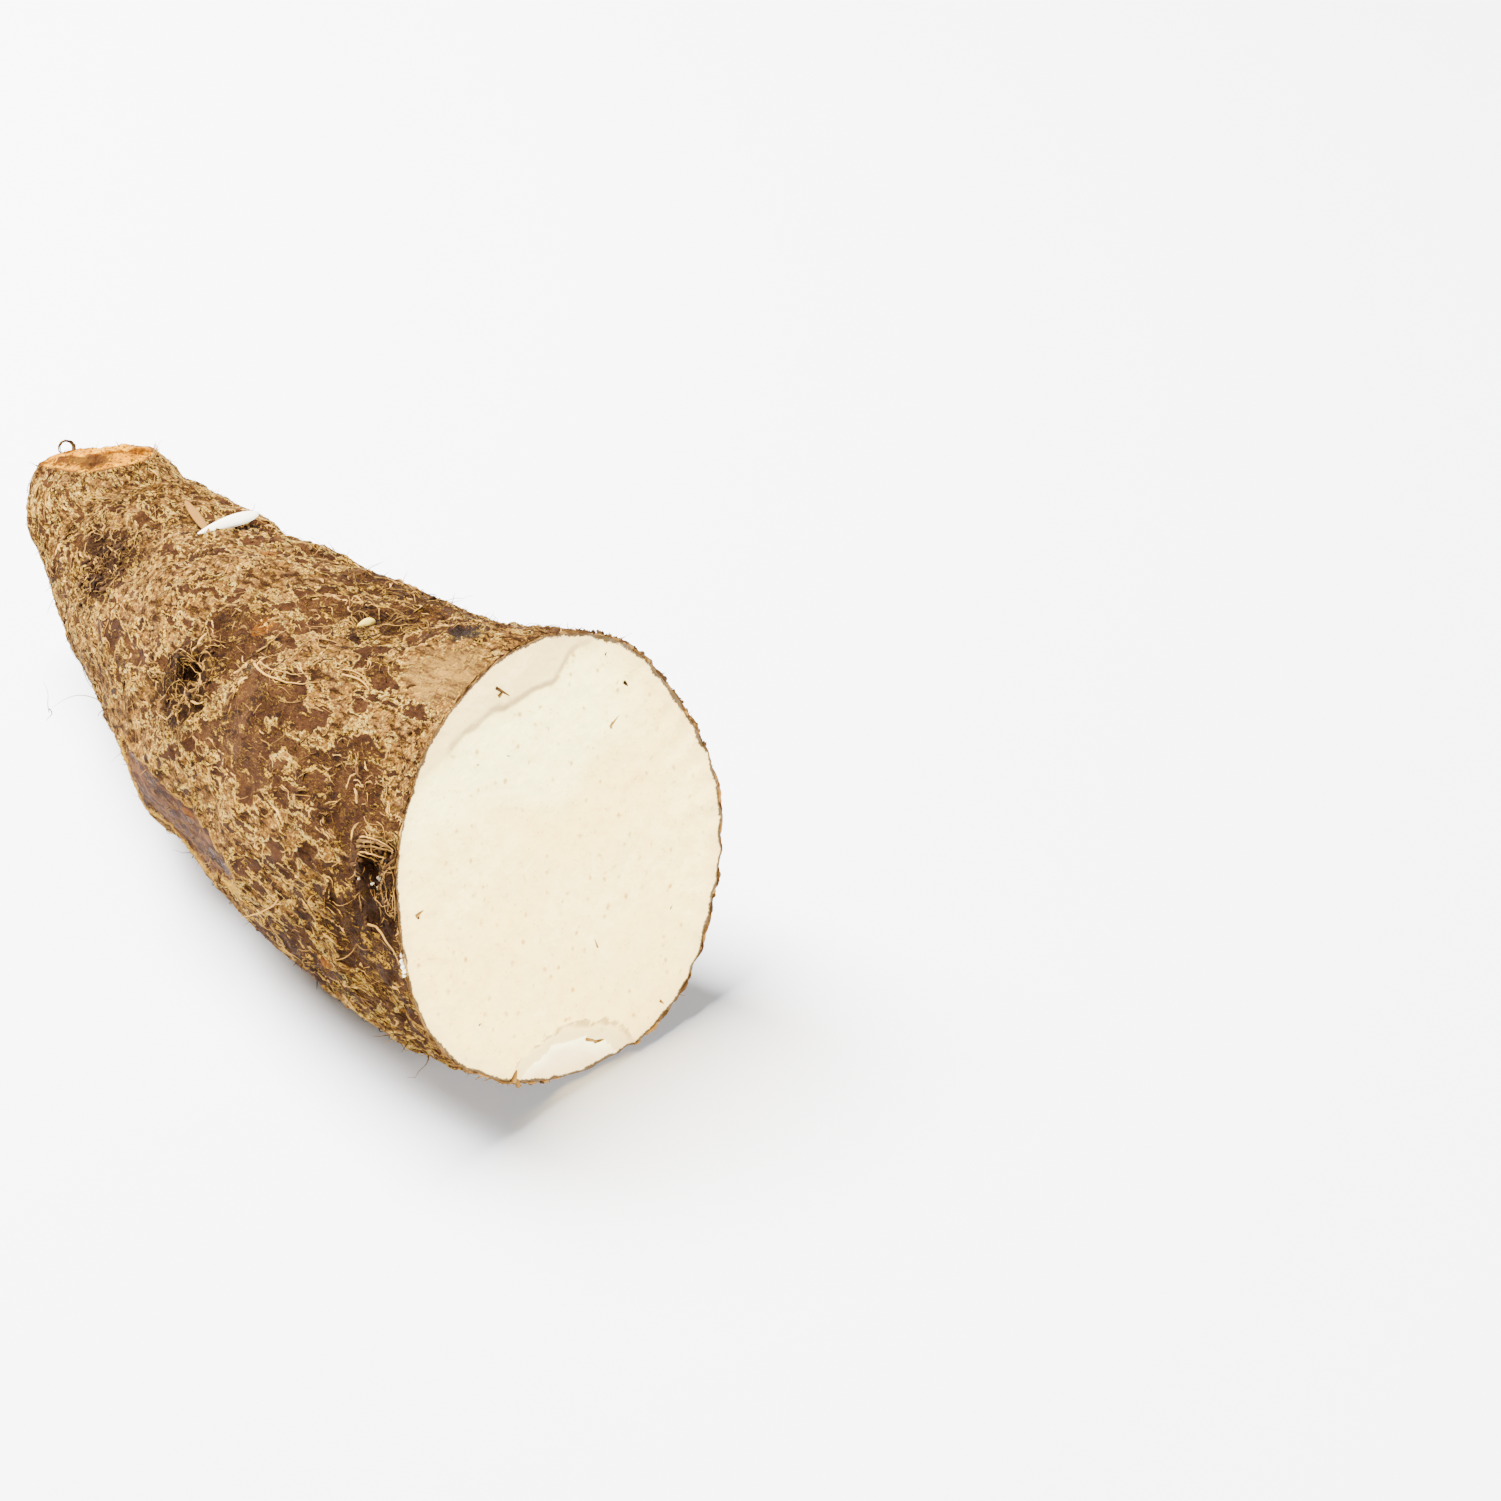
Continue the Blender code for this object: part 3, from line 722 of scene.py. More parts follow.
def skin_material():
    """Tan outer skin, brown where it peeled, with pale torn edges, dark pits, soil and orange bruises."""
    g = SkinGraph()
    colour, fleck = outer_skin(g)
    brown, peeled, rim = bare_skin(g)
    colour = g.mix(colour, brown, peeled)
    colour = g.mix(colour, g.mix(PALE, BONE, g.step(g.flakes, 0.45, 0.55)), rim * 0.85)
    curls = 1.0 - g.step(g.distance(g.flakes + (g.dust - 0.5) * 0.06, 0.5), 0.006, 0.022)
    curls = curls * g.step(g.region + (g.medium - 0.5) * 1.5, 0.25, 0.8) * g.step(g.grain, 0.40, 0.52)
    colour = g.mix(colour, PALE, curls * 0.30)
    colour, in_strip = peeled_strip(g, colour)
    colour, soil = stains(g, colour)
    colour = g.shade(colour, 0.6, g.mix(tint(0.66, 0.62, 0.60), WHITE, g.step(g.broad, 0.38, 0.58)))
    colour = g.shade(colour, 1.0, tint(0.62, 0.61, 0.62))

    height = g.grain * 0.7 + g.dust * 0.2 + g.flakes * 0.7 + rim * 0.16 + curls * 0.10
    height = height - peeled * 0.14 - fleck * 0.25 + soil * g.dust * 0.4 + in_strip * g.grained * 0.2
    g.set(Specular_IOR_Level=0.03)
    return g.finish(colour, 0.9 - peeled * 0.22 - in_strip * 0.2, height)


def flesh_material():
    """Cream-white flesh: faint specks, a band painted lighter as a highlight, painted shade at the knife,
    painted shade and highlights on the chip, and a dark rim line.
    """
    g = Graph("malanga_flesh")
    place = g.attribute("face", "Vector")
    broad, medium, fine = g.noise(place, 0.05, 3.0), g.noise(place, 0.35, 4.0), g.noise(place, 2.2, 4.0)
    colour = g.mix(tint(0.95, 0.68, 0.20), tint(0.97, 0.73, 0.24), g.step(broad, 0.40, 0.60))
    # Painted highlight: the band under the knife's line is drawn lighter, as a facet that catches the light.
    colour = g.mix(colour, tint(0.98, 0.84, 0.32), g.attribute("band"))
    colour = g.shade(colour, g.step(medium, 0.44, 0.64) * 0.25, tint(0.80, 0.70, 0.50))
    specks = g.cells(place, 0.42)
    speck = (1.0 - g.step(specks, 0.06, 0.28)) * g.step(g.noise(place, 0.7, 2.0), 0.40, 0.60)
    colour = g.mix(colour, tint(0.46, 0.23, 0.025), speck * 0.9)
    tiny = (1.0 - g.step(g.cells(place, 1.1), 0.06, 0.26)) * g.step(medium, 0.48, 0.60)
    colour = g.mix(colour, tint(0.46, 0.26, 0.04), tiny * 0.7)
    chip, knife = g.attribute("chip"), g.attribute("knife") + (medium - 0.5) * 0.3
    # Painted shade and highlight on the chip: its upper band darker, its ridge and lower facet lighter, the
    # lower facet shaded a little again.
    colour = g.mix(colour, tint(0.66, 0.50, 0.20), g.step(chip + (fine - 0.5) * 0.2, 0.1, 0.9) * 0.8)
    colour = g.mix(colour, tint(1.0, 0.88, 0.45), g.step(chip, 1.1, 1.5))
    colour = g.mix(colour, tint(0.80, 0.58, 0.28), g.step(chip, 1.7, 2.6) * 0.8)
    # Painted shadow: a dark line along the chip's torn edge.
    edge = g.step(chip + (fine - 0.5) * 0.3, 0.03, 0.12) * (1.0 - g.step(chip, 0.2, 0.6))
    colour = g.mix(colour, tint(0.26, 0.16, 0.06), edge * g.step(medium, 0.36, 0.52) * 0.7)
    # Painted shade on the facet past the knife, and a painted shadow line just above the knife's ridge.
    colour = g.mix(colour, tint(0.78, 0.58, 0.22), g.step(knife, 0.4, 0.8) * 0.9)
    shade = g.step(knife, 0.25, 0.5) * (1.0 - g.step(knife, 0.62, 0.95)) * g.step(broad, 0.34, 0.5)
    colour = g.mix(colour, tint(0.30, 0.20, 0.085), shade * 0.85)
    inward = g.attribute("inward")
    glow = 1.0 - g.step(inward + (medium - 0.5) * 2.0, 0.3, 3.4)
    colour = g.mix(colour, tint(0.74, 0.50, 0.19), glow * 0.45)
    line = 1.0 - g.step(inward + (fine - 0.5) * 0.6 + (medium - 0.5) * 1.3, 0.32, 0.55)
    colour = g.mix(colour, tint(0.030, 0.011, 0.003), line * 0.95)
    height = medium * 0.5 + fine * 0.08 + g.noise(place, 0.12, 3.0) * 1.4 - line * 0.1
    g.set(Subsurface_Weight=0.15, Subsurface_Radius=(0.9, 0.7, 0.45), Subsurface_Scale=0.001)
    g.set(Specular_IOR_Level=0.1)
    return g.finish(colour, 0.45, height)


def old_cut_material():
    """Dried, golden-orange flesh with brown pits, dirty patches and a dark line round it."""
    g = Graph("malanga_old_cut")
    place = g.attribute("face", "Vector")
    medium, fine = g.noise(place, 0.25, 4.0), g.noise(place, 1.4, 5.0)
    broad = g.noise(place, 0.11, 3.0)
    light = g.step(broad + (fine - 0.5) * 0.3, 0.42, 0.52)
    colour = g.mix(tint(0.10, 0.029, 0.0003), tint(0.40, 0.145, 0.0003), light)
    colour = g.mix(colour, tint(0.62, 0.27, 0.001), g.step(medium, 0.50, 0.58) * 0.75)
    colour = g.mix(colour, tint(0.030, 0.010, 0.002), g.step(fine, 0.53, 0.59) * 0.85)
    dirty = g.step(g.attribute("dark") + (fine - 0.5) * 1.6 + (medium - 0.5) * 1.0, 0.36, 0.7)
    colour = g.mix(colour, g.mix(SOIL, BROWN_SKIN, g.step(fine, 0.4, 0.6)), dirty * 0.9)
    line = 1.0 - g.step(g.attribute("inward") + (fine - 0.5) * 2.0, 0.3, 0.9)
    colour = g.mix(colour, BROWN_SKIN, line * 0.9)
    g.set(Specular_IOR_Level=0.02)
    return g.finish(colour, 0.9, medium * 0.8 + fine * 0.9)


def old_cut_rings(ahead):
    """The old cut's rings, its middle, and how far each point lies from the rim, in mm.

    A ring is the cut's middle plus a share of each spoke to the rim, sunk by bumps that fade at the rim."""
    rim = skin.points[0]
    mid = rim.mean(axis=0)
    shares = np.array(OLD_SHARES)[:, None, None]
    rings = mid + shares * (rim - mid)
    x, y = (rings - mid)[..., 0], (rings - mid)[..., 1]
    shares = shares[..., 0]
    bumps = 0.8 * np.sin(x * 0.9) * np.cos(y * 0.7 + 1) + 0.9 * (1 - shares**2)
    bumps += 0.35 * np.sin(x * 2.1 + 1) * np.sin(y * 2.6)
    rings = rings - ahead * (bumps * (1 - shares**6))[..., None]
    return rings, mid - ahead * OLD_CUT_DROP, (1 - shares) * np.linalg.norm(rim - mid, axis=-1)


def fresh_cut_rings(centre, ahead, side, top):
    """The fresh cut's rings, its middle, how far each point is from the rim, and its place across and up.

    A ring is the cut's middle plus a share of each spoke to the rim, as far behind as the knife left it."""
    rim = skin.rim
    mid = rim.mean(axis=0)
    shares = np.array(FRESH_SHARES)[:, None, None]
    flat = mid + shares * (rim - mid)
    across, up = (flat - centre) @ side, (flat - centre) @ top
    rings = flat - fresh_depth(across, up)[..., None] * ahead
    inward = (1 - shares[..., 0]) * np.linalg.norm(rim - mid, axis=-1)
    thick_line = 0.7 * hump(turned(skin.turn, 40.0) / 0.6)
    inward = inward / (1 + thick_line + 0.4 * hump(turned(skin.turn, -20.0) / 0.6))
    return rings, mid - fresh_depth(0.0, 0.0) * ahead, inward, across, up


def closed_faces(rings):
    """Quads from ring to ring, and at each end a fan of triangles to one of the last two points."""
    i, j = np.meshgrid(np.arange(rings - 1), np.arange(POINTS), indexing="ij")
    a, b = i * POINTS + j, i * POINTS + (j + 1) % POINTS
    quads = np.stack([a, a + POINTS, b + POINTS, b], axis=-1).reshape(-1, 4)
    here = np.arange(POINTS)
    after = (here + 1) % POINTS
    middles = rings * POINTS
    last_ring = middles - POINTS
    near = np.stack([np.full(POINTS, middles), here, after], axis=-1)
    far = np.stack([np.full(POINTS, middles + 1), after + last_ring, here + last_ring], axis=-1)
    return quads.tolist() + near.tolist() + far.tolist()


def old_cut_dirt(rings, mid):
    """How dirty the old cut is: two soft spots."""
    dirt = hump(np.linalg.norm(rings - mid - np.array([5.0, -2.5, 0.0]), axis=-1) / 5.0)
    return dirt + 0.7 * hump(np.linalg.norm(rings - mid - np.array([-2.0, -6.0, 0.0]), axis=-1) / 3.5)


def tuber():
    """Skin and both cuts as one closed surface, with the values that its materials read."""
    centre, _, ahead, side, top = axes(np.array([0.0, LENGTH]))
    old, old_middle, old_inward = old_cut_rings(ahead[0])
    fresh, fresh_middle, fresh_inward, across, up = fresh_cut_rings(centre[1], ahead[1], side[1], top[1])
    rows = np.concatenate([old, skin.points, fresh])
    points = np.concatenate([rows.reshape(-1, 3), [old_middle, fresh_middle]])
    materials = [skin_material(), flesh_material(), old_cut_material()]
    made = give_mesh("malanga", points, closed_faces(len(rows)), materials)
    slots = np.repeat([OLD_CUT, SKIN, FLESH], [len(old), RINGS - 1, len(fresh)])
    slots = np.repeat(np.concatenate([slots, [OLD_CUT, FLESH]]), POINTS).astype(np.int32)
    made.data.polygons.foreach_set("material_index", slots)

    def give(name, on_old=0.0, on_skin=0.0, on_fresh=0.0, tips=0.0, size=()):
        """Stores a value for each point, in the order of the points: a grid, or one number for all of it."""
        grids = ((on_old, len(old)), (on_skin, RINGS), (on_fresh, len(fresh)))
        parts = [np.broadcast_to(grid, (rings, POINTS, *size)).reshape(-1, *size) for grid, rings in grids]
        give_attribute(made, name, np.concatenate([*parts, np.broadcast_to(tips, (2, *size))]))

    for name in ("peel", "region", "shaggy", "strip", "dark", "orange", "grey", "beige"):
        on_old = old_cut_dirt(old, old_middle) if name == "dark" else 0.0
        give(name, on_old, getattr(skin, name), tips=(0.3, 0.0))
    give("straight", on_skin=skin.straight, size=(3,))

    def on_plane(rings, end):
        """Each point's place across and up on the plane of a cut, and 0."""
        off = rings - centre[end]
        return np.stack([off @ side[end], off @ top[end], np.zeros(rings.shape[:-1])], axis=-1)

    on_skin = np.zeros((RINGS, POINTS, 3))
    on_skin[0], on_skin[-1] = on_plane(skin.points[0], 0), on_plane(skin.rim, 1)
    on_fresh = np.stack([across, up, np.zeros(across.shape)], axis=-1)
    give("face", on_plane(old, 0), on_skin, on_fresh, size=(3,))
    give("inward", old_inward, 0.0, fresh_inward, MIDDLE_INWARD)
    inside, knife = inside_chip(across, up), smooth_step(-0.8, 2.2, past_knife(across, up))
    # The chip's steps, where the flesh paints its shade and highlights: its edge, its upper band, its ridge
    # and its lower facet.
    chip = smooth_step(-0.4, 1.6, inside) + smooth_step(2.6, 3.1, inside) + smooth_step(3.2, 6.0, inside)
    give("band", on_fresh=knife_band(across, up) * (1 - knife))
    give("chip", on_fresh=chip)
    give("knife", on_fresh=knife)
    made.data.set_sharp_from_angle(angle=math.radians(70))
    return made


def papery_material(name, dark, light, roughness=0.85):
    """Thin dry skin or fibre: each piece has its own tone between dark and light, and a fine grain."""
    g = Graph(name)
    tone = g.attribute("tone")
    place = g.node("ShaderNodeTexCoord", output="Object")
    grain = g.noise(place, 1600.0, 3.0)
    colour = g.mix(dark, light, g.step(tone + (grain - 0.5) * 0.5, 0.0, 1.0))
    g.set(Specular_IOR_Level=0.06)
    return g.finish(colour, roughness, grain * 0.12)


def ribbons(name, s, t, width, tilt, curl, tone, material, thick=0.14, sink=0.12):
    """Curled strips of skin. Each follows a path s, t over the skin, as arrays of strips by steps.

    Across a strip, the way it points rises from tilt to tilt plus curl, so a point at share q of the
    width lies at width * (sin(tilt + curl q) - sin(tilt)) / curl across the skin, and at
    width * (cos(tilt) - cos(tilt + curl q)) / curl above it. Its two sides are a thickness apart."""
    base, up = skin.sample(skin.points, s, t), skin.sample(skin.normals, s, t)
    ahead = np.gradient(base, axis=1)
    ahead /= np.maximum(np.linalg.norm(ahead, axis=-1), 1e-6)[..., None]
    across = np.cross(up, ahead)
    across /= np.maximum(np.linalg.norm(across, axis=-1), 1e-6)[..., None]
    corners = []
    for q, side in ((0.0, 1), (0.5, 1), (1.0, 1), (1.0, -1), (0.5, -1), (0.0, -1)):
        angle = tilt + curl * q
        reach = width * (np.sin(angle) - np.sin(tilt)) / curl
        rise = width * (np.cos(tilt) - np.cos(angle)) / curl
        half = side * thick / 2 * (1 - 0.6 * q)
        reach, rise = reach - half * np.sin(angle), rise + half * np.cos(angle) - sink
        corners.append(base + reach[..., None] * across + rise[..., None] * up)
    points = np.stack(corners, axis=2)
    strips, steps = s.shape
    made = give_mesh(name, points, tube_faces(steps, 6, strips), [material])
    give_attribute(made, "tone", np.repeat(tone, steps * 6))
    return made


def threads(name, paths, radius, tone, material, sides=3):
    """Fibres and hairs: round tubes along paths, as an array of threads by steps by 3, thin at the tips."""
    ahead = np.gradient(paths, axis=1)
    ahead /= np.maximum(np.linalg.norm(ahead, axis=-1), 1e-6)[..., None]
    side = np.cross(ahead, (0.3, 0.5, 0.81))
    side /= np.maximum(np.linalg.norm(side, axis=-1), 1e-6)[..., None]
    up = np.cross(ahead, side)
    count, steps = paths.shape[:2]
    taper = 1 - 0.75 * np.linspace(0, 1, steps) ** 1.5
    size = (np.asarray(radius)[:, None] * taper)[..., None]
    turns = [TAU * k / sides for k in range(sides)]
    corners = [paths + size * (math.cos(turn) * side + math.sin(turn) * up) for turn in turns]
    made = give_mesh(name, np.stack(corners, axis=2), tube_faces(steps, sides, count), [material])
    give_attribute(made, "tone", np.repeat(tone, steps * sides))
    return made


def crumbs(name, places, sizes, tone, material, seed):
    """Rough little lumps: a ball of 5 rings by 6 points, each point pushed in or out at random."""
    random = np.random.RandomState(seed)
    rings, sides = 5, 6
    rise = np.linspace(0.15, math.pi - 0.15, rings)
    round_ = np.arange(sides) / sides * TAU
    ball = np.stack([
        np.outer(np.sin(rise), np.cos(round_)),
        np.outer(np.sin(rise), np.sin(round_)),
        np.outer(np.cos(rise), np.ones(sides)),
    ], axis=-1)
    push = random.uniform(0.65, 1.2, (len(places), rings, sides, 1))
    squash = random.uniform(0.5, 1.2, (len(places), 1, 1, 3))
    points = places[:, None, None] + ball * push * squash * np.asarray(sizes)[:, None, None, None]
    made = give_mesh(name, points, tube_faces(rings, sides, len(places)), [material])
    give_attribute(made, "tone", np.repeat(tone, rings * sides))
    return made


def follow_edges(s, t, heading, steps, stride):
    """Paths that follow the edges of the peeled patches: each step goes square to the patch's slope."""
    slope_s, slope_t = skin.slopes(skin.peel)
    paths_s, paths_t = [s], [t]
    for _ in range(steps - 1):
        down_s, down_t = skin.sample(slope_s, s, t), skin.sample(slope_t, s, t)
        steep = np.maximum(np.hypot(down_s, down_t), 1e-4)
        ahead_s, ahead_t = -down_t / steep, down_s / steep
        same = np.sign(ahead_s * heading[0] + ahead_t * heading[1] + 1e-9)
        heading = 0.5 * np.array(heading) + 0.5 * np.array([ahead_s * same, ahead_t * same])
        heading = heading / np.maximum(np.hypot(*heading), 1e-6)
        s = s + heading[0] * stride
        t = t + heading[1] * stride / skin.sample(skin.radius, s, t)
        paths_s.append(s)
        paths_t.append(t)
    return np.stack(paths_s, axis=1), np.stack(paths_t, axis=1)


def pick(weights, count, random):
    """Random places on the grid, as often as their weights say, spread inside their squares."""
    weights = weights.ravel() / weights.sum()
    chosen = random.choice(len(weights), count, p=weights)
    s = (chosen // POINTS + random.uniform(-0.5, 0.5, count)) * LENGTH / (RINGS - 1)
    t = (chosen % POINTS + random.uniform(-0.5, 0.5, count)) * TAU / POINTS
    return np.clip(s, 1.0, LENGTH - 1.0), t


def clear_of_table():
    """1 on skin well above the table, and 0 on the spot that it rests on."""
    return smooth_step(0.4, 2.5, skin.points[..., 2])


def torn_edges(material):
    """Thin curled ribbons along the edges of the peeled patches."""
    random = np.random.RandomState(21)
    edge = hump((skin.peel + 0.3) / 0.7)
    s, t = pick(edge * clear_of_table() * (0.06 + skin.region), 1900, random)
    angle = random.normal(0, 0.6, len(s)) + math.pi * (random.uniform(0, 1, len(s)) > 0.5)
    steps = 8
    s, t = follow_edges(s, t, (np.cos(angle), np.sin(angle)), steps, random.uniform(0.2, 0.6, len(s)))
    q = np.linspace(0, 1, steps)
    shape = np.sin(np.pi * (0.06 + 0.88 * q)) ** 0.7
    width = random.uniform(0.20, 0.55, (len(s), 1)) * shape
    width = width * (1 + 0.35 * random.uniform(-1, 1, (len(s), steps)))
    tilt = random.uniform(0.0, 0.6, (len(s), 1)) + 0.3 * np.sin(q * 6 + random.uniform(0, 6, (len(s), 1)))
    curl = random.uniform(0.4, 1.5, (len(s), 1))
    return ribbons("torn_skin_edges", s, t, width, tilt, curl, random.uniform(0.1, 1.0, len(s)), material)


def loose_scales(material):
    """Small flat scales all over the outer skin, most of them lengthwise."""
    random = np.random.RandomState(22)
    outer = (1 - 0.9 * smooth_step(0.0, 0.6, skin.peel)) * (1 - 0.8 * skin.beige)
    weight = outer * clear_of_table() * (1 - smooth_step(-0.5, 0.5, skin.strip))
    s, t = pick(weight, 2600, random)
    angle = random.normal(0, 0.5, (len(s), 1))
    steps = 5
    along = np.linspace(-0.5, 0.5, steps) * random.uniform(0.6, 2.4, (len(s), 1))
    bend = 0.6 * random.uniform(-1, 1, (len(s), 1)) * along**2
    path_s, path_t = bent_line(s, t, along, bend, angle)
    q = np.linspace(0, 1, steps)
    width = random.uniform(0.25, 0.7, (len(s), 1)) * np.sin(np.pi * (0.1 + 0.8 * q)) ** 0.7
    tilt = random.uniform(0.0, 0.5, (len(s), 1))
    curl = random.uniform(0.3, 1.2, (len(s), 1))
    tone = random.uniform(0, 1, len(s)) ** 1.6
    return ribbons("loose_scales", path_s, path_t, width, tilt, curl, tone, material)


def step_off(s, t, ahead, across):
    """Places so many mm along and across from each place s, t on the skin."""
    radius = skin.sample(skin.radius, s, t)[:, None]
    return np.clip(s[:, None] + ahead, 0.3, LENGTH - 0.3), t[:, None] + across / radius


def bent_line(s, t, along, bend, angle):
    """Places on lines that leave s, t at an angle, so many mm along each, and bent to its side."""
    return step_off(s, t, along * np.cos(angle) - bend * np.sin(angle), along * np.sin(angle) + bend)


def over_skin(s, t, proud):
    """Points so many mm above the skin."""
    return skin.sample(skin.points, s, t) + proud[..., None] * skin.sample(skin.normals, s, t)


def lying_fibres(material):
    """Fine fibres that lie on the skin, thicker round the eyes and in the dark hollow."""
    random = np.random.RandomState(23)
    weight = (0.25 + 0.8 * skin.region + 0.8 * np.clip(skin.dark, 0, 1)) * (1 - 0.9 * skin.beige)
    s, t = pick(weight * clear_of_table() * (1 - 0.8 * smooth_step(-0.5, 0.5, skin.strip)), 1500, random)
    steps = 8
    angle = random.normal(0, 0.45, (len(s), 1))
    along = np.linspace(0, 1, steps) * random.gamma(3.0, 1.0, (len(s), 1)).clip(0.8, 9)
    bend = 0.10 * random.normal(0, 1, (len(s), 1)) * along**2
    path_s, path_t = bent_line(s, t, along, bend, angle)
    arch = np.sin(np.pi * np.linspace(0, 1, steps)) * random.uniform(0.0, 0.5, (len(s), 1))
    paths = over_skin(path_s, path_t, 0.02 + arch)
    radius, tone = random.uniform(0.05, 0.10, len(s)), random.uniform(0, 1, len(s)) ** 1.6
    return threads("lying_fibres", paths, radius, tone, material)


def bristles(material):
    """Short stiff hairs that stand off the skin, most on the ridges and round the eyes."""
    random = np.random.RandomState(24)
    weight = 0.2 + 0.6 * skin.region + np.clip(skin.dark, 0, 1)
    s, t = pick(weight * clear_of_table() * (1 - 0.9 * skin.beige), 1500, random)
    steps = 4
    out = np.linspace(0, 1, steps) * random.gamma(2.0, 0.45, (len(s), 1)).clip(0.2, 2.6)
    lean = random.normal(0, 0.9, (2, len(s), 1))
    path_s, path_t = step_off(s, t, out * lean[0], out * lean[1])
    paths = over_skin(path_s, path_t, out - 0.1)
    radius, tone = random.uniform(0.05, 0.11, len(s)), random.uniform(0, 1, len(s))
    return threads("bristles", paths, radius, tone, material)


# Which eye, how far its fibres reach in mm, and how many it has.
EYE_FIBRES = ((0, 6.5, 70), (1, 6.5, 110), (3, 5.0, 50), (4, 5.0, 40), (5, 5.5, 40), (6, 5.0, 40))


def eye_fibres(material):
    """Arcs of fibre round the eyes: circles of growing radius, each drawn for part of a turn."""
    random = np.random.RandomState(25)
    paths = []
    steps = 12
    for number, reach, count in EYE_FIBRES:
        place, degrees = EYES[number][:2]
        start = random.uniform(0, TAU, (count, 1))
        sweep = random.uniform(0.5, 2.2, (count, 1)) * np.where(random.uniform(0, 1, (count, 1)) > 0.5, 1, -1)
        q = np.linspace(0, 1, steps)
        size = reach * np.sqrt(random.uniform(0.04, 1, (count, 1)))
        size = size * (1 + random.uniform(-0.4, 0.5, (count, 1)) * q)
        angle = start + sweep * q
        s = place + random.normal(0, 0.28 * reach, count)
        t = np.radians(degrees + random.normal(0, 0.5 * reach, count))
        path_s, path_t = step_off(s, t, size * np.cos(angle), 0.8 * size * np.sin(angle))
        arch = np.sin(np.pi * q) * random.uniform(0.0, 0.9, (count, 1)) + 0.05
        paths.append(over_skin(path_s, path_t, arch))
    paths = np.concatenate(paths)
    radius, tone = random.uniform(0.05, 0.12, len(paths)), random.uniform(0, 1, len(paths)) ** 2.2
    return threads("eye_fibres", paths, radius, tone, material)


STRANDS = (
    # Place and turn at the start, mm along and across to the end, sideways bow, rise, radius, tone
    (122.0, 125.0, 18.0, -2.5, 1.6, 0.1, 0.24, 0.9),
    (123.0, 123.5, 15.0, -2.5, 1.2, 0.1, 0.14, 0.8),
    (144.0, 115.0, 8.0, 1.0, -1.0, 0.1, 0.22, 0.9),
    (143.0, 113.5, 8.0, 1.0, -1.0, 0.1, 0.14, 0.8),
    (118.0, 121.0, 3.0, -7.0, 0.6, 0.6, 0.14, 0.8),
    (119.5, 118.0, -2.5, 7.0, 0.4, 0.7, 0.12, 0.2),
    (143.4, 184.4, -7.2, 6.6, -0.8, 2.5, 0.17, 1.0),
    (163.0, 221.0, 2.0, -1.0, 1.4, 5.2, 0.12, 0.3),
    (128.0, 67.0, 3.0, -5.0, 0.5, 3.5, 0.08, 0.2),
    (72.0, 183.0, -0.8, 1.6, 0.9, 2.0, 0.20, 0.1),
    (17.0, 174.0, -1.0, 2.0, 0.3, 1.8, 0.14, 0.3),
    (163.5, 155.5, 10.6, -0.8, -0.5, 0.6, 0.34, 0.3),
    (164.0, 156.6, 10.2, -1.2, -0.4, 0.7, 0.24, 0.4),
    (163.8, 154.2, 10.4, 0.0, -0.6, 0.6, 0.17, 1.0),
    (165.5, 157.4, 6.5, -0.4, -0.4, 0.6, 0.16, 0.9),
    (171.5, 156.5, 0.8, 7.0, 1.2, 0.5, 0.14, 0.7),
    (172.3, 157.0, 0.5, 8.0, 1.6, 0.5, 0.12, 0.8),
    (170.6, 157.5, 0.3, 5.0, 0.6, 0.4, 0.12, 0.5),
    (173.2, 158.0, 0.2, 6.0, 0.9, 0.4, 0.12, 0.6),
    (165.5, 175.5, 8.3, 3.8, -0.8, 0.6, 0.20, 1.0),
    (140.0, 197.0, 5.0, 3.0, 0.8, 0.5, 0.12, 0.9),
    (112.0, 141.0, -9.0, -3.0, 1.2, 0.7, 0.14, 0.85),
    (137.0, 96.0, -12.0, 5.0, 1.0, 0.5, 0.12, 0.8),
    (139.0, 92.0, -13.0, 3.0, 1.8, 0.5, 0.11, 0.6),
    (110.0, 150.0, -7.0, 3.0, -1.5, 1.0, 0.14, 0.9),
)


def strands(material):
    """Single long fibres. At share q each has a sideways bow of 4 q (1 - q), and has risen by q squared."""
    steps = 16
    q = np.linspace(0, 1, steps)
    start_s, start_t, ahead, across, bow, rise, radius, tone = np.array(STRANDS).T[..., None]
    length = np.hypot(ahead, across)
    swing = bow * 4 * q * (1 - q)
    along, aside = ahead * q - swing * across / length, across * q + swing * ahead / length
    path_s, path_t = step_off(start_s[:, 0], np.radians(start_t[:, 0]), along, aside)
    paths = over_skin(path_s, path_t, 0.1 + rise * q**2)
    return threads("strands", paths, radius[:, 0], tone[:, 0], material, sides=6)


def long_hair(material):
    """The thin hair that leaves the near side, with a kinked end."""
    base = over_skin(np.array([68.0]), np.array([math.radians(184.0)]), np.array([0.0]))[0]
    _, right, up = view_axes()
    q = np.linspace(0, 1, 24)[:, None]
    main = base - right * 9.5 * q - up * (1.5 * q - 1.85 * np.sin(np.pi * q))
    end = main[-1]
    lean = end + up * (5.5 * q - 0.4) - right * (0.9 * q**2 + 0.15 * np.sin(q * 7))
    kink = end - up * (2.2 * q - 0.3) + right * 0.5 * np.sin(q * 4.5)
    paths = np.stack([main, lean, kink])
    return threads("long_hair", paths, (0.09, 0.08, 0.11), (0.45, 0.5, 0.1), material, sides=5)


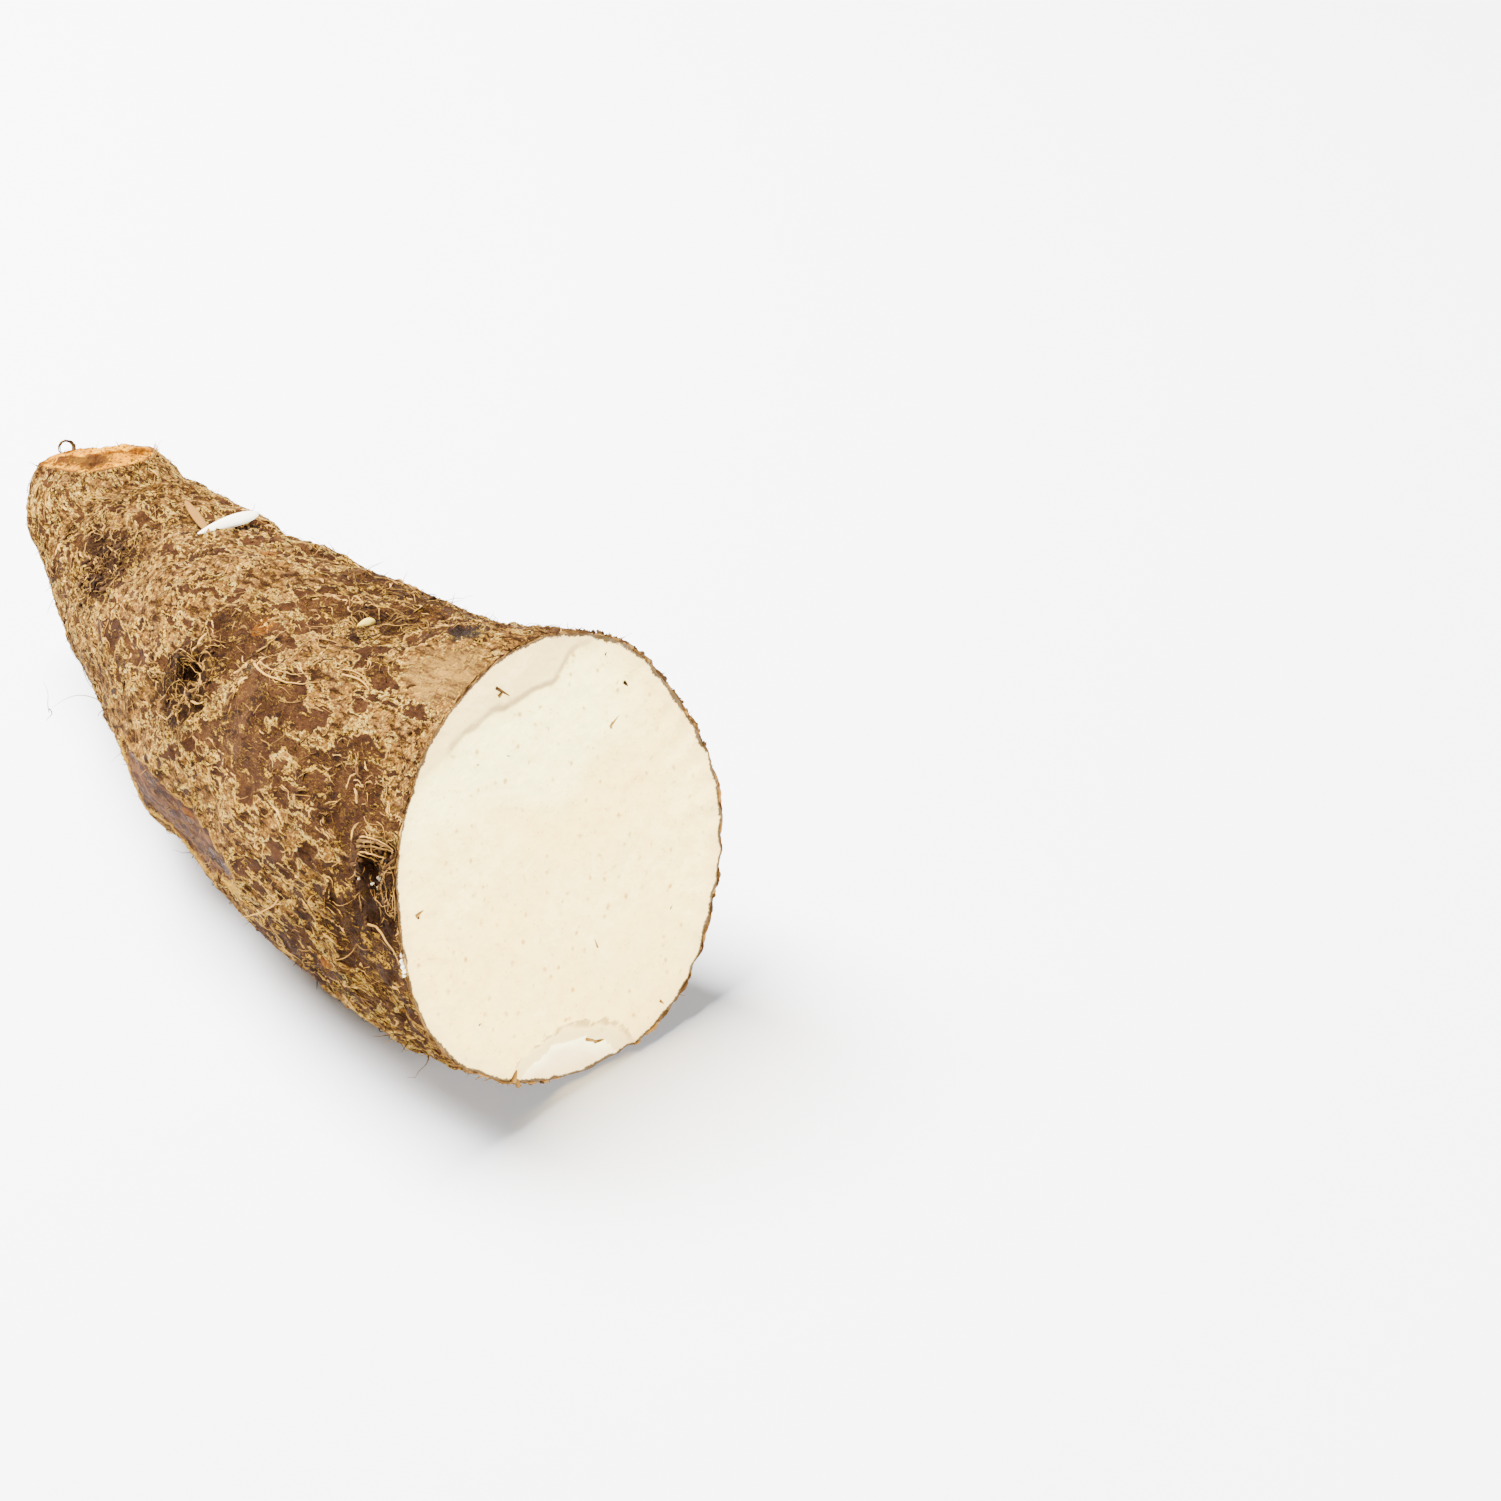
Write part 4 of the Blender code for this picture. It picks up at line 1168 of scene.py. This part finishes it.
def blade(name, start, end, width, thick, blunt, material, tone):
    """A flat pointed sliver, straight from start to end, each a place, a turn and mm above the skin.

    At share q its half width is width sin(pi q^blunt)^0.5, and its half thickness is made the same way."""
    steps, sides = 18, 12
    s, t, proud = np.array([start, end]).T
    root, tip = over_skin(s, np.radians(t), proud)
    q = np.linspace(0.02, 0.98, steps)[:, None]
    path = root + (tip - root) * q
    ahead = (tip - root) / np.linalg.norm(tip - root)
    across = np.cross(view_axes()[0] + (0.0, 0.0, 0.6), ahead)
    across /= np.linalg.norm(across)
    size = np.sin(np.pi * q**blunt) ** 0.5
    angle = np.arange(sides) / sides * TAU
    points = path[:, None] + (size * width * np.cos(angle))[..., None] * across
    points = points + (size * thick * np.sin(angle))[..., None] * np.cross(ahead, across)
    made = give_mesh(name, points, tube_faces(steps, sides), [material])
    give_attribute(made, "tone", np.full(steps * sides, tone))
    return made


def soil_crumbs(material):
    """Dark soil in the hollow, in the eyes, in a crust at the top and on the rim of the fresh cut."""
    random = np.random.RandomState(26)
    weight = smooth_step(0.35, 0.9, skin.dark) * clear_of_table()
    s, t = pick(weight + 0.0006 * clear_of_table(), 900, random)
    sizes = random.gamma(3.0, 0.09, len(s)).clip(0.1, 0.75)
    places = over_skin(s, t, 0.3 * sizes)
    count = 80
    s, t = 64 + random.normal(0, 3.5, count), np.radians(70 + random.normal(0, 2.5, count))
    crust = over_skin(s, t, random.uniform(0, 0.6, count))
    rim_count = 320
    s, t = LENGTH - random.uniform(0.0, 0.9, rim_count), np.radians(random.uniform(8, 76, rim_count))
    rim = over_skin(s, t, random.uniform(0, 0.4, rim_count))
    places = np.concatenate([places, crust, rim])
    sizes = [sizes, random.uniform(0.2, 0.6, count), random.gamma(3.0, 0.075, rim_count).clip(0.08, 0.6)]
    tone = random.uniform(0.1, 1.0, len(places))
    return crumbs("soil_crumbs", places, np.concatenate(sizes), tone, material, 27)


def white_grains(material):
    """White bits of flesh in the tear beside the fresh cut and on the skin's rim."""
    random = np.random.RandomState(28)
    tear, rim = 12, 10
    s = np.concatenate([169 + random.normal(0, 1.6, tear), LENGTH - random.uniform(0.1, 0.6, rim)])
    t = np.radians(np.concatenate([164 + random.normal(0, 3.5, tear), 182 + random.normal(0, 1.6, rim)]))
    tone = np.concatenate([random.uniform(0.1, 0.6, tear), np.full(rim, 0.9)])
    places = over_skin(np.clip(s, 0, LENGTH), t, np.full(tear + rim, 0.2))
    return crumbs("white_grains", places, random.uniform(0.15, 0.5, tear + rim), tone, material, 29)


def on_face(across, up):
    """Points on the fresh cut, from mm to its side and up."""
    centre, _, ahead, side, top = axes(np.array([LENGTH]))
    flat = centre[0] + across[..., None] * side[0] + up[..., None] * top[0]
    return flat - fresh_depth(across, up)[..., None] * ahead[0]


SPLINTERS = (
    # Across and up on the face, half length in mm, degrees, radius, tone
    (-3.7, 30.5, 1.5, -45.0, 0.30, 0.2),
    (-4.1, 30.3, 0.7, 20.0, 0.28, 0.4),
    (17.6, 17.0, 1.3, 22.0, 0.24, 0.7),
    (16.8, 16.7, 0.6, 60.0, 0.22, 0.5),
    (21.7, 21.8, 0.5, -60.0, 0.34, 0.0),
    (-31.5, 5.3, 0.9, 8.0, 0.32, 0.6),
    (-31.9, 5.0, 0.4, 80.0, 0.25, 0.1),
    (2.7, -15.2, 0.8, 95.0, 0.22, 0.5),
    (20.6, -16.8, 0.4, 30.0, 0.14, 0.3),
    (13.7, -30.7, 0.6, -50.0, 0.26, 0.5),
    (-25.0, -16.5, 0.3, 10.0, 0.14, 0.1),
    (-12.7, 22.0, 0.3, 0.0, 0.12, 0.3),
    (-6.0, 20.7, 0.35, -30.0, 0.11, 0.2),
    (19.0, 28.0, 0.3, 40.0, 0.16, 0.2),
    (-1.6, -30.6, 1.6, -32.0, 0.30, 0.6),
    (-0.4, -31.2, 0.9, -10.0, 0.28, 0.4),
    (-20.6, -27.6, 1.0, 50.0, 0.55, 0.5),
    (-19.7, -29.0, 1.2, 110.0, 0.50, 0.4),
)


def splinters(material):
    """Brown splinters and specks that lie on the fresh cut, straight and thinner towards one end."""
    across, up, half, degrees, radius, tone = np.array(SPLINTERS).T[..., None]
    q = np.linspace(-1, 1, 5)
    angle = np.radians(degrees)
    paths = on_face(across + half * q * np.cos(angle), up + half * q * np.sin(angle))
    return threads("splinters", paths, radius[:, 0], tone[:, 0], material, sides=6)


def rim_skin(material):
    """The thin skin's torn edge round the fresh cut: short flaps that run round it."""
    random = np.random.RandomState(31)
    count, steps = 420, 6
    t = random.uniform(math.radians(-85), math.radians(265), count)
    length = random.uniform(0.8, 4.0, (count, 1))
    q = np.linspace(0, 1, steps)
    path_t = t[:, None] + length * q / STATIONS[-1, 3]
    inset = random.uniform(0.05, 0.6, (count, 1))
    path_s = LENGTH - inset + 0.15 * np.sin(q * 5 + random.uniform(0, 6, (count, 1)))
    low = skin.sample(skin.points, path_s, path_t)[..., 2].min(axis=1) > 1.2
    path_s, path_t = np.minimum(path_s, LENGTH)[low], path_t[low]
    count = len(path_s)
    shape = np.sin(np.pi * (0.1 + 0.8 * q)) ** 0.7
    width = random.uniform(0.2, 0.7, (count, 1)) * shape
    tilt, curl = random.uniform(0.1, 1.0, (count, 1)), random.uniform(0.3, 1.2, (count, 1))
    return ribbons("rim_skin", path_s, path_t, width, tilt, curl, random.uniform(0, 0.7, count), material)


def rim_fringe(material):
    """Dark ragged bits on the far part of the rim: short curved threads that stand off it."""
    random = np.random.RandomState(33)
    count, steps = 420, 6
    far_side = random.uniform(math.radians(-62), math.radians(72), 300)
    t = np.concatenate([far_side, random.uniform(0, TAU, count - 300)])
    s = LENGTH - random.uniform(0.1, 1.6, count)
    out = np.linspace(0, 1, steps) * random.gamma(2.0, 0.28, (count, 1)).clip(0.15, 1.8)
    lean = random.normal(0, 1.0, (2, count, 1))
    path_s, path_t = step_off(s, t, np.minimum(out * lean[0], 0.2), out * lean[1])
    paths = over_skin(path_s, path_t, out * 0.8 - 0.1)
    keep = paths[..., 2].min(axis=1) > 0.8
    radius, tone = random.uniform(0.08, 0.24, count), random.uniform(0, 0.7, count)
    return threads("rim_fringe", paths[keep], radius[keep], tone[keep], material, sides=4)


LOOP_TURN = 252.0  # where the loop stands on the old cut's rim, in degrees


def old_cut_hairs(material):
    """Tufts and loops of fibre round the old cut's rim."""
    random = np.random.RandomState(32)
    count, steps = 90, 10
    t = np.concatenate([random.uniform(0, TAU, 50), math.radians(40) + random.normal(0, 0.25, 40)])
    q = np.linspace(0, 1, steps)
    base = skin.sample(skin.points, np.full(count, 0.4), t)
    out = skin.sample(skin.normals, np.full(count, 0.4), t)
    ahead = axes(np.array([0.0]))[2][0]
    round_ = np.cross(ahead, out)
    length = random.gamma(2.0, 0.6, (count, 1)).clip(0.4, 3.2)
    curl = random.uniform(-2.5, 2.5, (count, 1))
    divisor = np.where(np.abs(curl) < 0.2, 0.2, curl)
    rise, swing = length * np.sin(curl * q) / divisor, length * (1 - np.cos(curl * q)) / divisor
    lean = random.uniform(0.0, 1.0, (count, 1, 1))
    paths = base[:, None] + rise[..., None] * (lean * out[:, None] - (1 - lean) * ahead)
    paths = paths + swing[..., None] * round_[:, None]
    back, right, up = view_axes()
    angle = np.linspace(-0.5, 1.35, steps)[:, None] * math.pi
    root = skin.sample(skin.points, np.array([0.3]), np.radians([LOOP_TURN]))[0]
    loop = root + up * (1.0 + 1.4 * np.sin(angle)) + right * 1.5 * np.cos(angle)
    paths = np.concatenate([paths, loop[None], loop[None] + 0.35 * right + 0.3 * back])
    radius = np.concatenate([random.uniform(0.06, 0.14, count), [0.40, 0.26]])
    tone = np.concatenate([random.uniform(0, 1, count), [0.30, 0.15]])
    return threads("old_cut_hairs", paths, radius, tone, material, sides=5)


def main():
    """Builds the pieces, and gives each one its body."""
    body = tuber()
    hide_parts("malanga_half")
    torn = papery_material("malanga_torn_skin", tint(0.075, 0.031, 0.009), tint(0.40, 0.215, 0.045))
    scale = papery_material("malanga_scales", tint(0.031, 0.012, 0.0035), tint(0.25, 0.125, 0.027))
    fibre = papery_material("malanga_fibre", tint(0.015, 0.006, 0.003), tint(0.36, 0.185, 0.038))
    soil = papery_material("malanga_soil", tint(0.006, 0.003, 0.0015), tint(0.060, 0.026, 0.009))
    white = papery_material("malanga_white_bits", tint(0.34, 0.22, 0.09), tint(0.93, 0.85, 0.66), 0.5)
    amber = papery_material("malanga_amber_flake", tint(0.15, 0.066, 0.010), tint(0.34, 0.165, 0.022), 0.8)
    cream = papery_material("malanga_bud", tint(0.28, 0.17, 0.02), tint(0.62, 0.45, 0.08), 0.5)
    skin_pieces = [
        body,
        torn_edges(torn),
        loose_scales(scale),
        lying_fibres(fibre),
        bristles(fibre),
        eye_fibres(fibre),
        strands(fibre),
        long_hair(fibre),
        soil_crumbs(soil),
        rim_skin(scale),
        rim_fringe(fibre),
        old_cut_hairs(fibre),
        blade("amber_flake", (70.0, 94.5, 0.3), (38.3, 81.6, 0.4), 0.85, 0.25, 1.0, amber, 0.1),
    ]
    flesh_pieces = [
        blade("white_sliver", (69.6, 98.4, 1.5), (51.5, 58.5, 1.6), 1.6, 0.5, 1.5, white, 0.9),
        blade("bud", (133.2, 97.5, 0.6), (135.2, 92.6, 1.4), 1.0, 0.8, 1.4, cream, 0.6),
        white_grains(white),
        splinters(fibre),
    ]
    for slot, pieces in (("skin", skin_pieces), ("flesh", flesh_pieces)):
        for piece in pieces:
            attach(piece, "root")


def aim(name, data, place, back):
    """Adds a lamp or camera at a place in metres, looking along minus back, with its top side up."""
    made = bpy.data.objects.new(name, data)
    _, right, up = look(back)
    turned_frame = np.eye(4)
    turned_frame[:3] = np.stack([right, up, back, place], axis=1)
    made.matrix_world = Matrix(turned_frame.tolist())
    bpy.context.scene.collection.objects.link(made)
    return made


def stage_and_light():
    """A white floor, a pale world, and three soft lights: a large one high at the back left, two low ones."""
    g = Graph("white_floor")
    corners = [(x * FLOOR_REACH, y * FLOOR_REACH, 0) for x, y in ((-1, -1), (1, -1), (1, 1), (-1, 1))]
    mesh = bpy.data.meshes.new("floor")
    mesh.from_pydata(corners, [], [(0, 1, 2, 3)])
    mesh.materials.append(g.finish(tint(0.80, 0.80, 0.81), 0.9))
    floor = bpy.data.objects.new("floor", mesh)
    bpy.context.scene.collection.objects.link(floor)

    world = bpy.data.worlds.new("studio")
    world.use_nodes = True
    sky = world.node_tree.nodes["Background"]
    sky.inputs["Strength"].default_value = WORLD_STRENGTH
    sky.inputs["Color"].default_value = WHITE
    bpy.context.scene.world = world

    for name, round_, rise, away, size, power in LIGHTS:
        lamp = bpy.data.lights.new(name, "AREA")
        lamp.size = size
        lamp.energy = power
        back = way(CAMERA_ROUND + round_, rise)
        aim(name, lamp, back * away, back)


def camera():
    """The photo's camera, 30 degrees above the table, which looks at the point of the table in the middle."""
    back = view_axes()[0]
    lens = bpy.data.cameras.new("camera")
    lens.lens = SENSOR * FOCAL_PIXELS / IMAGE_SIDE
    lens.sensor_width = SENSOR
    lens.clip_start = 0.01
    place = back * CAMERA_AWAY + (AIM_SHIFT + CENTRED) * MM
    bpy.context.scene.camera = aim("camera", lens, place, back)


camera()
stage_and_light()
main()
